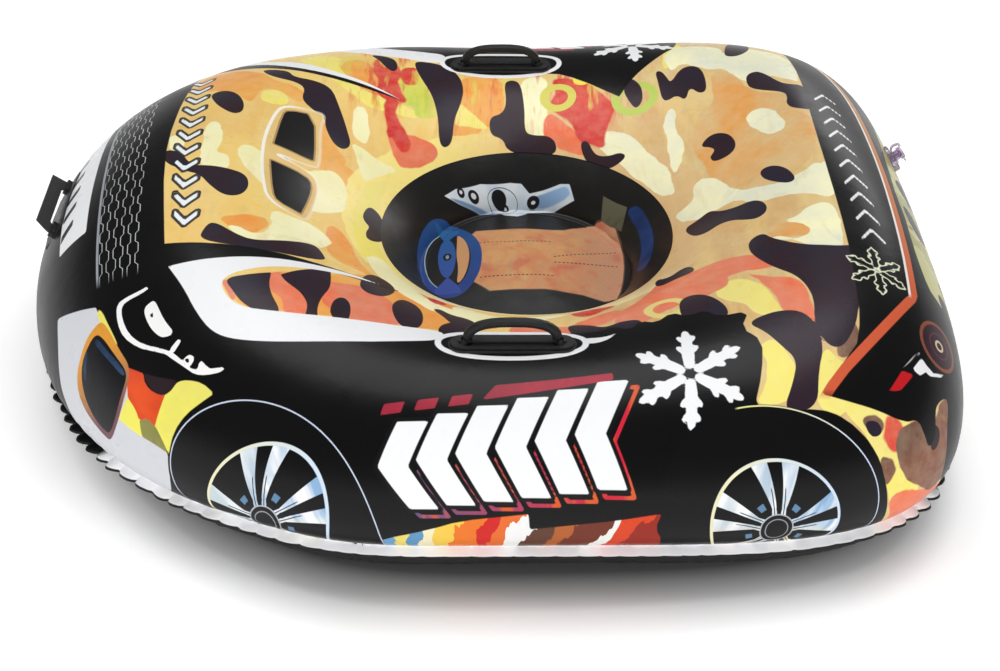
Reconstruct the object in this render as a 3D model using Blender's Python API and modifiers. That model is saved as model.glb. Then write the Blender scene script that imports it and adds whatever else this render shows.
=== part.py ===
"""Ride-on snow tube: an inflated PVC ring with a seat well, two folding grips, a tow loop and a valve.

Metres, +Z up. -X is the front, with the tow loop, and -Y the near side. The origin is on the ground, under the
middle of the plan. Run it with: blender --background --python part.py
"""
import math

import bmesh
import bpy
from mathutils import Matrix, Vector
from mathutils.bvhtree import BVHTree

PART = "snow_tube"

# Clearances
GAP = 0.0003            # between pieces that touch
WELD_GAP = 0.0004       # between the two sheets of a curved lap
OVERRUN = 0.004         # how far a cutter runs past what it cuts
MERGE = 0.00001         # points this near each other are one
RAY_START = 0.25        # above the skin, where a ray that looks for it starts
CORNER_LEAST_SHARE = 0.5

# The ring in plan: a superellipse with a rounded front and a squarer rear
HALF_LENGTH = 0.556
HALF_WIDTH = 0.471
FRONT_POWER = 2.24
REAR_POWER = 4.6
POWER_BLEND_SHARE = 0.6

# The ring in section
SIDE_CROWN_Z = 0.218
END_CROWN_Z = 0.272
RIDGE_SHARE = 0.535     # of the way from the well's rim to the outline
BULGE_Z = 0.095         # height of the widest line
WELD_Z = 0.050
WELD_INSET = 0.023
LOWER_BEND_SHARE = 0.72
MARGIN_WIDTH = 0.0155   # of the welded margin that stands out all round
MARGIN_DROOP = math.radians(32)
BASE_TUCK = 0.030       # from the weld in to where the base lies flat

# The seat well
WELL_X = 0.055
WELL_RADIUS = 0.183
RIM_Z = 0.160
RIM_SLOPE = math.radians(42)
RIM_LAP = 0.012         # of the well's wall under the top sheet
WALL_BEND_SHARE = 0.85
FLOOR_RADIUS = 0.134
FLOOR_Z = 0.100
FLOOR_LAP = 0.008       # of the well's wall over the floor
FLOOR_DOME = 0.015
DOME_POWER = 1.5

# Sheets
TOP_SHEET = 0.0008
BASE_SHEET = 0.0012
WALL_SHEET = 0.0008
FLOOR_SHEET = 0.0010

# Facets
RING_STEPS = 84
INNER_STEPS = 5
OUTER_STEPS = 7
LOWER_STEPS = 3
BASE_STEPS = 4
WALL_STEPS = 4
ROUND_STEPS = 32
DOME_STEPS = 5

# Handles
HANDLE_X = 0.028
HANDLE_OUT_SHARE = 0.4583   # of the way from the well's rim out to the ring's side
HANDLE_Y = WELL_RADIUS + HANDLE_OUT_SHARE * (HALF_WIDTH - WELL_RADIUS)
PATCH_LENGTH = 0.140
PATCH_WIDTH = 0.030
PATCH_LEAST = 0.0012    # thickness where the skin comes nearest to the patch's flat top
COVER_LENGTH = 0.135
COVER_WIDTH = 0.0255
COVER_THICKNESS = 0.0030
RIB_LENGTH = 0.118
RIB_WIDTH = 0.0085
RIB_RISE = 0.0019
GRIP_WIDTH = 0.110
GRIP_HEIGHT = 0.034
GRIP_RADIUS = 0.0056
GRIP_POWER = 2.7
GRIP_STEPS = 18
ROD_RADIUS = 0.0016
FOOT_RADIUS = 0.0040
FOOT_RISE = 0.0045      # height at which the foot has its own radius
SHOULDER_RISE = 0.0095  # height at which the foot has grown to the grip
SHOULDER_START_SHARE = 0.7
ROD_STEPS = 4
SWING = math.radians(45)
SLOT_CLEARANCE = 0.0008

# Tow loop
TOW_ANGLE = math.radians(180)
TOW_OUT_SHARE = 0.64    # of the outer arc, from the ridge down to the widest line
TOW_PATCH_LENGTH = 0.128
TOW_PATCH_WIDTH = 0.046
TOW_PATCH_THICKNESS = 0.0010
PATCH_CORNER = 0.008
WEB_WIDTH = 0.0168
WEB_THICKNESS = 0.0022
WEB_MITRE = 0.0105      # length that the near corner's fold takes off the outer edge
WEB_BEND = 0.0025       # inner corner between the strap and each turned-down end
TOW_REACH = 0.112       # over both turned-down ends
TOW_CLEAR = 0.0066      # finger gap below the standing strap
ANCHOR_LENGTH = 0.024
ANCHOR_WIDTH = 0.011
ANCHOR_RISE = 0.0035
ANCHOR_CORNER = 0.004

# Valve
VALVE_ANGLE = math.radians(12)
VALVE_OUT_SHARE = 0.62
FLANGE_RADIUS = 0.018
FLANGE_LEAST = 0.0008
SOCKET_RADIUS = 0.0098
SOCKET_RISE = 0.0012
STEM_RADIUS = 0.0066
STEM_BORE = 0.0046
STEM_OUT = 0.0115       # from the flange's seat to the stem's mouth
STEM_IN = 0.0120
COLLAR_RADIUS = 0.0084
COLLAR_THICKNESS = 0.0022
PLUG_DEPTH = 0.0085
CAP_RADIUS = 0.0080
CAP_THICKNESS = 0.0022
TAB_LENGTH = 0.0050
TAB_WIDTH = 0.0060
TAB_THICKNESS = 0.0014
TETHER_BAND = 0.0016
TETHER_WIDTH = 0.0036
TETHER_ARCH = 0.0050
FLAP_THICKNESS = 0.0006
FLAP_RADIUS = 0.0058


def clear_scene():
    """Remove what the scene holds."""
    for item in list(bpy.data.objects):
        bpy.data.objects.remove(item, do_unlink=True)


def make_collection(name):
    """A new collection under the scene's own."""
    made = bpy.data.collections.new(name)
    bpy.context.scene.collection.children.link(made)
    return made


def make_material(name, colour, roughness, alpha=1.0):
    """A plain Principled material."""
    made = bpy.data.materials.new(name)
    made.use_nodes = True
    shader = made.node_tree.nodes["Principled BSDF"]
    shader.inputs["Base Color"].default_value = (*colour, 1.0)
    shader.inputs["Roughness"].default_value = roughness
    shader.inputs["Metallic"].default_value = 0.0
    shader.inputs["Alpha"].default_value = alpha
    return made


def add_mesh(name, mesh, material, collection):
    """One object from a mesh, with its one material."""
    mesh.materials.clear()
    if material:
        mesh.materials.append(material)
    made = bpy.data.objects.new(name, mesh)
    collection.objects.link(made)
    return made


def add_cutter(name, mesh, collection):
    """An object that only cuts."""
    made = add_mesh(name, mesh, None, collection)
    made.hide_render = True
    made.display_type = "WIRE"
    return made


def cut(target, cutter, operation="DIFFERENCE"):
    """Boolean modifier on the target."""
    step = target.modifiers.new(cutter.name, "BOOLEAN")
    step.operation = operation
    step.object = cutter
    step.solver = "EXACT"


def smooth(target, angle=math.radians(35)):
    """Round faces shaded smooth."""
    target.data.shade_smooth()
    target.data.set_sharp_from_angle(angle=angle)
    return target


# The ring's section

def outline_radius(angle):
    """Distance from the origin to the outline in plan."""
    along, across = abs(math.cos(angle)), abs(math.sin(angle))
    blend = min(1.0, max(0.0, 0.5 + 0.5 * math.cos(angle) / POWER_BLEND_SHARE))
    blend = blend * blend * (3 - 2 * blend)
    power = FRONT_POWER + (REAR_POWER - FRONT_POWER) * blend
    return ((along / HALF_LENGTH) ** power + (across / HALF_WIDTH) ** power) ** (-1 / power)


def section_place(angle):
    """The rim's point, the outward direction and the reach to the outline, all in plan."""
    turn = Vector((math.cos(angle), math.sin(angle)))
    rim = Vector((WELL_X, 0)) + turn * WELL_RADIUS
    span = turn * outline_radius(angle) - rim
    return rim, span.normalized(), span.length


def in_plan(angle, reach):
    """Plan place at this reach from the rim: outside it towards the outline, inside it along the well's radius."""
    rim, out, _ = section_place(angle)
    inward = Vector((math.cos(angle), math.sin(angle)))
    return rim + (out if reach > 0 else inward) * reach


def crown_height(angle):
    """The ridge is higher at both ends than at the sides."""
    return SIDE_CROWN_Z * math.sin(angle) ** 2 + END_CROWN_Z * math.cos(angle) ** 2


def bezier(start, bend, end, steps):
    """Points along a quadratic curve, both ends included."""
    points = []
    for k in range(steps + 1):
        t = k / steps
        points.append(start * (1 - t) ** 2 + bend * (2 * t * (1 - t)) + end * t ** 2)
    return points


def top_profile(reach, crown):
    """The top sheet's outer side, as (reach, height), from the rim over the ridge to the margin's edge."""
    ridge = RIDGE_SHARE * reach
    rise = crown - RIM_Z
    points = bezier(Vector((0, RIM_Z)), Vector((rise / math.tan(RIM_SLOPE), crown)),
                    Vector((ridge, crown)), INNER_STEPS)
    for k in range(1, OUTER_STEPS + 1):
        turn = math.pi / 2 * k / OUTER_STEPS
        points.append(Vector((ridge + (reach - ridge) * math.sin(turn),
                              BULGE_Z + (crown - BULGE_Z) * math.cos(turn))))
    weld = Vector((reach - WELD_INSET, WELD_Z))
    bend = Vector((reach, WELD_Z + LOWER_BEND_SHARE * (BULGE_Z - WELD_Z)))
    points += bezier(points[-1], bend, weld, LOWER_STEPS)[1:]
    points.append(weld + MARGIN_WIDTH * margin_direction())
    return points


def margin_direction():
    """The margin stands out and droops."""
    return Vector((math.cos(MARGIN_DROOP), -math.sin(MARGIN_DROOP)))


def base_profile(reach):
    """The base sheet's outer side, from the margin's edge in to where it lies flat."""
    down = Vector((-math.sin(MARGIN_DROOP), -math.cos(MARGIN_DROOP)))
    weld = Vector((reach - WELD_INSET, WELD_Z)) + down * (TOP_SHEET + GAP + BASE_SHEET)
    points = [weld + MARGIN_WIDTH * margin_direction(), weld]
    for k in range(1, BASE_STEPS + 1):
        turn = math.pi / 2 * k / BASE_STEPS
        points.append(Vector((weld.x - BASE_TUCK * (1 - math.cos(turn)), weld.y * (1 - math.sin(turn)))))
    return points


def wall_profile(reach, crown):
    """The wall's well side, from its lap under the top sheet down to its lap on the floor."""
    under = TOP_SHEET + WELD_GAP
    inward = Vector((math.sin(RIM_SLOPE), -math.cos(RIM_SLOPE))) * under
    rise = (crown - RIM_Z) / math.tan(RIM_SLOPE)
    top = bezier(Vector((0, RIM_Z)), Vector((rise, crown)), Vector((RIDGE_SHARE * reach, crown)), INNER_STEPS)
    chord = (top[1] - top[0]).normalized()
    facet_in = Vector((chord.y, -chord.x)) * under
    lap_end = top[0] + chord * RIM_LAP + facet_in
    rim = top[0] + inward
    drop = WELL_RADIUS - FLOOR_RADIUS
    bend = Vector((-WALL_BEND_SHARE * drop, RIM_Z - WALL_BEND_SHARE * drop * math.tan(RIM_SLOPE)))
    points = [lap_end] + bezier(rim, bend, Vector((-drop, FLOOR_Z)), WALL_STEPS)
    points.append(Vector((-drop - FLOOR_LAP, FLOOR_Z)))
    return points


def grown(points, growth):
    """A profile moved out to its left by this much, each corner along its bisector."""
    moved = []
    for k, point in enumerate(points):
        before = (point - points[k - 1]).normalized() if k else None
        after = (points[k + 1] - point).normalized() if k + 1 < len(points) else None
        first = before or after
        last = after or before
        left = (Vector((-first.y, first.x)) + Vector((-last.y, last.x))).normalized()
        moved.append(point + left * (growth / max(CORNER_LEAST_SHARE, left.dot(Vector((-first.y, first.x))))))
    return moved


def ring_rows(profile_of):
    """World points of a profile at every angle round the ring."""
    rows = []
    for k in range(RING_STEPS):
        angle = 2 * math.pi * k / RING_STEPS
        reach = section_place(angle)[2]
        rows.append([(*in_plan(angle, p.x), p.y) for p in profile_of(reach, crown_height(angle))])
    return rows


def ring_mesh(name, rows, outward=True, closed=False, floor=False):
    """Loft round the ring: open across each row, or closed into a body, or with its last edge filled."""
    work = bmesh.new()
    grid = [[work.verts.new(point) for point in row] for row in rows]
    count = len(rows[0])
    for i, row in enumerate(grid):
        following = grid[(i + 1) % len(grid)]
        for j in range(count if closed else count - 1):
            corners = [row[j], row[(j + 1) % count], following[(j + 1) % count], following[j]]
            work.faces.new(corners if outward else corners[::-1])
    if floor:
        edge = [row[-1] for row in grid]
        work.faces.new(edge[::-1] if outward else edge)
    if closed:
        bmesh.ops.recalc_face_normals(work, faces=work.faces)
    mesh = bpy.data.meshes.new(name)
    work.to_mesh(mesh)
    work.free()
    return mesh


def solidify(target, thickness):
    """Thickness on the inner side of an open surface."""
    step = target.modifiers.new("sheet", "SOLIDIFY")
    step.thickness = thickness
    step.offset = -1
    step.use_even_offset = True
    step.use_quality_normals = True
    return target


def ring_body(name, growth, collection):
    """The whole ring as one body, grown by this much, to cut what lies on the skin."""
    rows = ring_rows(lambda reach, crown: grown(top_profile(reach, crown), growth))
    return add_cutter(name, ring_mesh(name, rows, closed=True), collection)


# Solids in a local frame

def prism(name, outline, low, high):
    """Mesh of a flat outline between two heights, from a filled 2D curve."""
    data = bpy.data.curves.new(name, "CURVE")
    data.dimensions = "2D"
    data.fill_mode = "BOTH"
    data.extrude = (high - low) / 2
    spline = data.splines.new("POLY")
    spline.points.add(len(outline) - 1)
    for place, (x, y) in zip(spline.points, outline):
        place.co = (x, y, 0, 1)
    spline.use_cyclic_u = True
    holder = bpy.data.objects.new(name, data)
    bpy.context.scene.collection.objects.link(holder)
    graph = bpy.context.evaluated_depsgraph_get()
    mesh = bpy.data.meshes.new_from_object(holder.evaluated_get(graph))
    bpy.data.objects.remove(holder, do_unlink=True)
    work = bmesh.new()
    work.from_mesh(mesh)
    bmesh.ops.remove_doubles(work, verts=work.verts, dist=MERGE)
    bmesh.ops.recalc_face_normals(work, faces=work.faces)
    bmesh.ops.translate(work, verts=work.verts, vec=(0, 0, (low + high) / 2))
    work.to_mesh(mesh)
    work.free()
    return mesh


def stadium(length, width, steps=9):
    """Outline with two round ends, along X."""
    radius = width / 2
    points = []
    for side in (1, -1):
        for k in range(steps + 1):
            turn = side * math.pi / 2 - math.pi * k / steps
            points.append((side * (length / 2 - radius) + radius * math.cos(turn), radius * math.sin(turn)))
    return points


def rounded_rectangle(length, width, radius, steps=3):
    """Outline with round corners, along X."""
    points = []
    for k in range(4):
        start = math.pi / 2 * k
        x = (length / 2 - radius) * (1 if k in (0, 3) else -1)
        y = (width / 2 - radius) * (1 if k in (0, 1) else -1)
        for n in range(steps + 1):
            turn = start + math.pi / 2 * n / steps
            points.append((x + radius * math.cos(turn), y + radius * math.sin(turn)))
    return points


def box(name, low, high):
    """Mesh of a box between two corners."""
    work = bmesh.new()
    bmesh.ops.create_cube(work, size=1)
    size = Vector(high) - Vector(low)
    middle = (Vector(high) + Vector(low)) / 2
    bmesh.ops.transform(work, verts=work.verts, matrix=Matrix.Translation(middle) @ Matrix.Diagonal((*size, 1)))
    mesh = bpy.data.meshes.new(name)
    work.to_mesh(mesh)
    work.free()
    return mesh


def cylinder(name, radius, low, high, steps=ROUND_STEPS):
    """Mesh of an upright cylinder between two heights."""
    work = bmesh.new()
    bmesh.ops.create_cone(work, cap_ends=True, segments=steps, radius1=radius, radius2=radius, depth=high - low)
    bmesh.ops.translate(work, verts=work.verts, vec=(0, 0, (low + high) / 2))
    mesh = bpy.data.meshes.new(name)
    work.to_mesh(mesh)
    work.free()
    return mesh


def turned(name, profile, material, collection, closed=True, steps=ROUND_STEPS):
    """Body of revolution about Z. The profile is (radius, height), running down its outer side."""
    work = bmesh.new()
    places = [work.verts.new((radius, 0, height)) for radius, height in profile]
    for first, last in zip(places, places[1:]):
        work.edges.new((first, last))
    if closed:
        work.edges.new((places[-1], places[0]))
    mesh = bpy.data.meshes.new(name)
    work.to_mesh(mesh)
    work.free()
    made = add_mesh(name, mesh, material, collection)
    step = made.modifiers.new("turn", "SCREW")
    step.steps = steps
    step.render_steps = steps
    step.use_merge_vertices = True
    step.merge_threshold = MERGE
    return made


# Seats on the skin

def outer_point(angle, share):
    """A point on the true outer arc, this share of the way from the ridge to the widest line, and its normal."""
    rim, out, reach = section_place(angle)
    crown = crown_height(angle)
    ridge = RIDGE_SHARE * reach
    turn = math.pi / 2 * share
    place = rim + out * (ridge + (reach - ridge) * math.sin(turn))
    rise = (reach - ridge) * math.cos(turn)
    fall = (crown - BULGE_Z) * math.sin(turn)
    normal = Vector((*(out * fall), rise)).normalized()
    return Vector((*place, BULGE_Z + (crown - BULGE_Z) * math.cos(turn))), normal


def ridge_normal(side):
    """Lie of the skin across a handle, from two points on the inner arc at its two edges."""
    _, _, reach = section_place(side * math.pi / 2)
    profile = top_profile(reach, crown_height(side * math.pi / 2))[:INNER_STEPS + 1]
    heights = []
    for edge in (HANDLE_Y - PATCH_WIDTH / 2, HANDLE_Y + PATCH_WIDTH / 2):
        wanted = edge - WELL_RADIUS
        for first, last in zip(profile, profile[1:]):
            if first.x <= wanted <= last.x:
                part = (wanted - first.x) / (last.x - first.x)
                heights.append(first.y + (last.y - first.y) * part)
    lift = math.atan2(heights[-1] - heights[0], PATCH_WIDTH)
    return Vector((0, -side * math.sin(lift), math.cos(lift)))


def frame_at(origin, along, normal):
    """Matrix with X near this direction and Z along the normal."""
    across = normal.cross(along).normalized()
    along = across.cross(normal)
    turn = Matrix((along, across, normal)).transposed().to_4x4()
    return Matrix.Translation(origin) @ turn


def skin_heights(skin, frame, outline):
    """Heights of the skin in a local frame, under the points of an outline and its middle."""
    heights = []
    into = -(frame.to_3x3() @ Vector((0, 0, 1)))
    for x, y in [(0, 0), *outline]:
        start = frame @ Vector((x, y, RAY_START))
        hit, _, _, _ = skin.ray_cast(start, into)
        heights.append((frame.inverted() @ hit).z)
    return heights


# Pieces

def make_ring(parts, cutters, looks):
    """The sheets of the air chamber."""
    top = add_mesh("top_skin", ring_mesh("top_skin", ring_rows(top_profile)), looks["print"], parts)
    smooth(solidify(top, TOP_SHEET))
    base = add_mesh("base_skin", ring_mesh("base_skin", ring_rows(lambda reach, crown: base_profile(reach)),
                                           floor=True), looks["base"], parts)
    solidify(base, BASE_SHEET)
    wall = add_mesh("well_wall", ring_mesh("well_wall", ring_rows(wall_profile), outward=False),
                    looks["wall"], parts)
    smooth(solidify(wall, WALL_SHEET))
    return top


def make_floor(parts, looks):
    """The domed floor of the seat well, flat where the wall is lapped on it."""
    edge = FLOOR_RADIUS - WALL_SHEET
    flat = FLOOR_RADIUS - FLOOR_LAP - GAP
    height = FLOOR_Z - WALL_SHEET - GAP
    upper = [(edge, height)]
    for k in range(DOME_STEPS):
        share = 1 - k / DOME_STEPS
        upper.append((flat * share, height + FLOOR_DOME * (1 - share ** 2) ** DOME_POWER))
    upper.append((0, height + FLOOR_DOME))
    lower = [(radius, level - FLOOR_SHEET) for radius, level in upper]
    floor = turned("seat_floor", upper[::-1] + lower, looks["print"], parts, closed=False,
                   steps=ROUND_STEPS * 2)
    floor.location.x = WELL_X
    return smooth(floor)


def grip_points():
    """Centre line and radius of a grip: the rod, then the arch over it, in the handle's frame."""
    half = GRIP_WIDTH / 2 - GRIP_RADIUS
    rise = GRIP_HEIGHT - GRIP_RADIUS - COVER_THICKNESS
    corner = FOOT_RISE / 2
    rod_end = half - corner
    points = []
    for k in range(ROD_STEPS + 1):
        points.append((-rod_end + 2 * rod_end * k / ROD_STEPS, 0, ROD_RADIUS))
    points.append((half - corner * (1 - math.sin(math.pi / 4)), corner * (1 - math.cos(math.pi / 4)), ROD_RADIUS))
    for height, radius in ((corner, ROD_RADIUS), (FOOT_RISE, FOOT_RADIUS)):
        points.append((half, height, radius))
    for k in range(GRIP_STEPS + 1):
        turn = math.pi * k / GRIP_STEPS
        x = half * math.copysign(abs(math.cos(turn)) ** (2 / GRIP_POWER), math.cos(turn))
        z = rise * abs(math.sin(turn)) ** (2 / GRIP_POWER)
        if z > SHOULDER_RISE * SHOULDER_START_SHARE:
            share = min(1.0, z / SHOULDER_RISE)
            points.append((x, z, FOOT_RADIUS + (GRIP_RADIUS - FOOT_RADIUS) * share))
    for height, radius in ((FOOT_RISE, FOOT_RADIUS), (corner, ROD_RADIUS)):
        points.append((-half, height, radius))
    points.append((-half + corner * (1 - math.sin(math.pi / 4)), corner * (1 - math.cos(math.pi / 4)), ROD_RADIUS))
    return points


def slot_size(level):
    """Half sizes of a foot's slot: what the foot sweeps below the cover's top as the grip folds."""
    reach = FOOT_RADIUS
    widest = FOOT_RADIUS
    for _, height, radius in grip_points():
        if height * math.cos(SWING) - radius * math.sin(SWING) < level + SLOT_CLEARANCE:
            reach = max(reach, height * math.sin(SWING) + radius * math.cos(SWING))
            widest = max(widest, radius)
    return widest + SLOT_CLEARANCE, reach + SLOT_CLEARANCE


def make_grip(name, frame, looks, parts):
    """One D-shaped grip. Its origin is on its rod's axis."""
    data = bpy.data.curves.new(name, "CURVE")
    data.dimensions = "3D"
    data.bevel_depth = 1.0
    data.bevel_resolution = 3
    data.resolution_u = 1
    spline = data.splines.new("POLY")
    points = grip_points()
    spline.points.add(len(points) - 1)
    for place, (x, z, radius) in zip(spline.points, points):
        place.co = (x, 0, z, 1)
        place.radius = radius
    spline.use_cyclic_u = True
    data.materials.append(looks["rubber"])
    made = bpy.data.objects.new(name, data)
    parts.objects.link(made)
    made.matrix_world = frame


def make_handle(label, side, skin, parts, cutters, looks):
    """Welded patch, moulded cover and grip of one handle."""
    normal = ridge_normal(side)
    above = Vector((HANDLE_X, side * HANDLE_Y, END_CROWN_Z + RAY_START))
    hit, _, _, _ = skin.ray_cast(above, Vector((0, 0, -1)))
    seat = frame_at(hit, Vector((1, 0, 0)), normal)
    outline = stadium(PATCH_LENGTH, PATCH_WIDTH)
    rise = max(skin_heights(skin, seat, outline)) + GAP + PATCH_LEAST

    patch_name = f"handle_patch_{label}"
    patch = add_mesh(patch_name, prism(patch_name, outline, -PATCH_WIDTH / 2, rise), looks["rubber"], parts)
    patch.matrix_world = seat
    cut(patch, cutters.objects["skin_clear"])

    top = frame_at(seat @ Vector((0, 0, rise)), Vector((1, 0, 0)), normal)
    axis = GAP + ROD_RADIUS
    cover_name = f"handle_cover_{label}"
    cover = add_mesh(cover_name, prism(cover_name, stadium(COVER_LENGTH, COVER_WIDTH), GAP,
                                       GAP + COVER_THICKNESS), looks["rubber"], parts)
    cover.matrix_world = top
    rib = add_cutter(f"rib_{label}", prism(f"rib_{label}", stadium(RIB_LENGTH, RIB_WIDTH, 5),
                                           GAP + COVER_THICKNESS / 2, GAP + COVER_THICKNESS + RIB_RISE),
                     cutters)
    rib.matrix_world = top
    cut(cover, rib, "UNION")

    foot = GRIP_WIDTH / 2 - GRIP_RADIUS
    channel = ROD_RADIUS + GAP
    wide, reach = slot_size(COVER_THICKNESS + GAP - axis)
    groove = add_cutter(f"groove_{label}", box(f"groove_{label}", (-foot, -channel, -OVERRUN),
                                               (foot, channel, axis + channel)), cutters)
    groove.matrix_world = top
    cut(cover, groove)
    for end in (-1, 1):
        name = f"slot_{label}_{'rear' if end > 0 else 'front'}"
        outline = rounded_rectangle(2 * wide, 2 * reach, wide / 2)
        slot = add_cutter(name, prism(name, outline, -OVERRUN, COVER_THICKNESS + RIB_RISE + OVERRUN), cutters)
        slot.matrix_world = top @ Matrix.Translation((end * foot, 0, 0))
        cut(cover, slot)
    make_grip(f"handle_grip_{label}", top @ Matrix.Translation((0, 0, axis)), looks, parts)


def web_outline():
    """Outline of the standing tow strap with its two turned-down ends: (along, above the skin)."""
    foot = TOW_PATCH_THICKNESS + 2 * GAP
    inner = TOW_PATCH_THICKNESS + GAP + TOW_CLEAR
    outer = inner + WEB_WIDTH
    end = TOW_REACH / 2
    turn = end - WEB_WIDTH
    return [(-end, foot), (-turn, foot), (-turn, inner - WEB_BEND), (-turn + WEB_BEND, inner),
            (turn - WEB_BEND, inner), (turn, inner - WEB_BEND), (turn, foot), (end, foot),
            (end, inner), (end - WEB_MITRE, outer), (-end, outer)]


def loft(name, sections):
    """Closed mesh through four-cornered sections."""
    work = bmesh.new()
    rings = [[work.verts.new(point) for point in section] for section in sections]
    for first, last in zip(rings, rings[1:]):
        for k in range(4):
            work.faces.new((first[k], first[(k + 1) % 4], last[(k + 1) % 4], last[k]))
    work.faces.new(rings[0][::-1])
    work.faces.new(rings[-1])
    bmesh.ops.recalc_face_normals(work, faces=work.faces)
    mesh = bpy.data.meshes.new(name)
    work.to_mesh(mesh)
    work.free()
    return mesh


def make_tow(skin, parts, cutters, looks):
    """Patch, strap and the two pads that hold the strap's ends, on the front of the ring."""
    place, normal = outer_point(TOW_ANGLE, TOW_OUT_SHARE)
    hit, _, _, _ = skin.ray_cast(place + normal * RAY_START, -normal)
    seat = frame_at(hit, Vector((0, -1, 0)), normal)
    outline = rounded_rectangle(TOW_PATCH_LENGTH, TOW_PATCH_WIDTH, PATCH_CORNER)
    patch = add_mesh("tow_patch", prism("tow_patch", outline, -TOW_PATCH_WIDTH / 2, TOW_PATCH_WIDTH / 2),
                     looks["rubber"], parts)
    patch.matrix_world = seat
    cut(patch, cutters.objects["skin_tow_top"], "INTERSECT")
    cut(patch, cutters.objects["skin_clear"])

    half = WEB_THICKNESS / 2
    strap = add_mesh("tow_strap", prism("tow_strap", web_outline(), -half, half), looks["webbing"], parts)
    strap.matrix_world = seat @ Matrix.Rotation(math.pi / 2, 4, "X")

    crest = TOW_PATCH_THICKNESS + GAP + ANCHOR_RISE
    for label, end in (("near", 1), ("far", -1)):
        name = f"tow_anchor_{label}"
        middle = end * (TOW_REACH / 2 - WEB_WIDTH / 2)
        shape = rounded_rectangle(ANCHOR_LENGTH, ANCHOR_WIDTH, ANCHOR_CORNER)
        anchor = add_mesh(name, prism(name, shape, -crest, crest), looks["rubber"], parts)
        anchor.matrix_world = seat @ Matrix.Translation((middle, 0, 0))
        cut(anchor, cutters.objects["skin_tow_clear"])
        across = half + GAP
        run = WEB_WIDTH / 2 + GAP
        bed = add_cutter(f"strap_bed_{label}", box(f"strap_bed_{label}", (-run, -across, -crest - OVERRUN),
                                                   (run, across, crest + OVERRUN)), cutters)
        bed.matrix_world = anchor.matrix_world
        cut(anchor, bed)


def make_valve(top, skin, parts, cutters, looks):
    """Flange, stem, plug, tether and check flap, on the rear of the ring."""
    place, normal = outer_point(VALVE_ANGLE, VALVE_OUT_SHARE)
    hit, _, _, _ = skin.ray_cast(place + normal * RAY_START, -normal)
    seat = frame_at(hit, Vector((0, 1, 0)), normal)
    bore = STEM_RADIUS + GAP
    hole = add_cutter("valve_hole", cylinder("valve_hole", bore, -STEM_OUT, STEM_OUT), cutters)
    hole.matrix_world = seat
    cut(top, hole)

    circle = [(FLANGE_RADIUS * math.cos(a), FLANGE_RADIUS * math.sin(a))
              for a in (2 * math.pi * k / ROUND_STEPS for k in range(ROUND_STEPS))]
    rise = max(skin_heights(skin, seat, circle)) + GAP + FLANGE_LEAST
    flange = turned("valve_flange", [(bore, rise + SOCKET_RISE), (SOCKET_RADIUS, rise + SOCKET_RISE),
                                     (SOCKET_RADIUS, rise), (FLANGE_RADIUS, rise),
                                     (FLANGE_RADIUS, -FLANGE_RADIUS / 2), (bore, -FLANGE_RADIUS / 2)],
                    looks["clear"], parts)
    flange.matrix_world = seat
    cut(flange, cutters.objects["skin_clear"])

    mouth = rise + STEM_OUT
    stem = turned("valve_stem", [(STEM_BORE, mouth), (COLLAR_RADIUS, mouth),
                                 (COLLAR_RADIUS, mouth - COLLAR_THICKNESS), (STEM_RADIUS, mouth - COLLAR_THICKNESS),
                                 (STEM_RADIUS, -STEM_IN), (STEM_BORE, -STEM_IN)], looks["clear"], parts)
    stem.matrix_world = seat

    pin = STEM_BORE - GAP
    seat_level = mouth + GAP
    plug = turned("valve_plug", [(0, seat_level + CAP_THICKNESS), (CAP_RADIUS, seat_level + CAP_THICKNESS),
                                 (CAP_RADIUS, seat_level), (pin, seat_level), (pin, mouth - PLUG_DEPTH),
                                 (0, mouth - PLUG_DEPTH)], looks["clear"], parts, closed=False)
    plug.matrix_world = seat
    tab = add_cutter("plug_tab", box("plug_tab", (-TAB_WIDTH / 2, -CAP_RADIUS - TAB_LENGTH, seat_level),
                                     (TAB_WIDTH / 2, 0, seat_level + TAB_THICKNESS)), cutters)
    tab.matrix_world = seat
    cut(plug, tab, "UNION")

    make_tether(seat, rise, mouth, parts, cutters, looks)
    disc = cylinder("valve_flap", FLAP_RADIUS, -FLAP_THICKNESS, 0)
    disc.transform(Matrix.Translation((FLAP_RADIUS, 0, 0)))
    flap = add_mesh("valve_flap", disc, looks["clear"], parts)
    flap.matrix_world = seat @ Matrix.Translation((-FLAP_RADIUS, 0, -STEM_IN - GAP))


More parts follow.
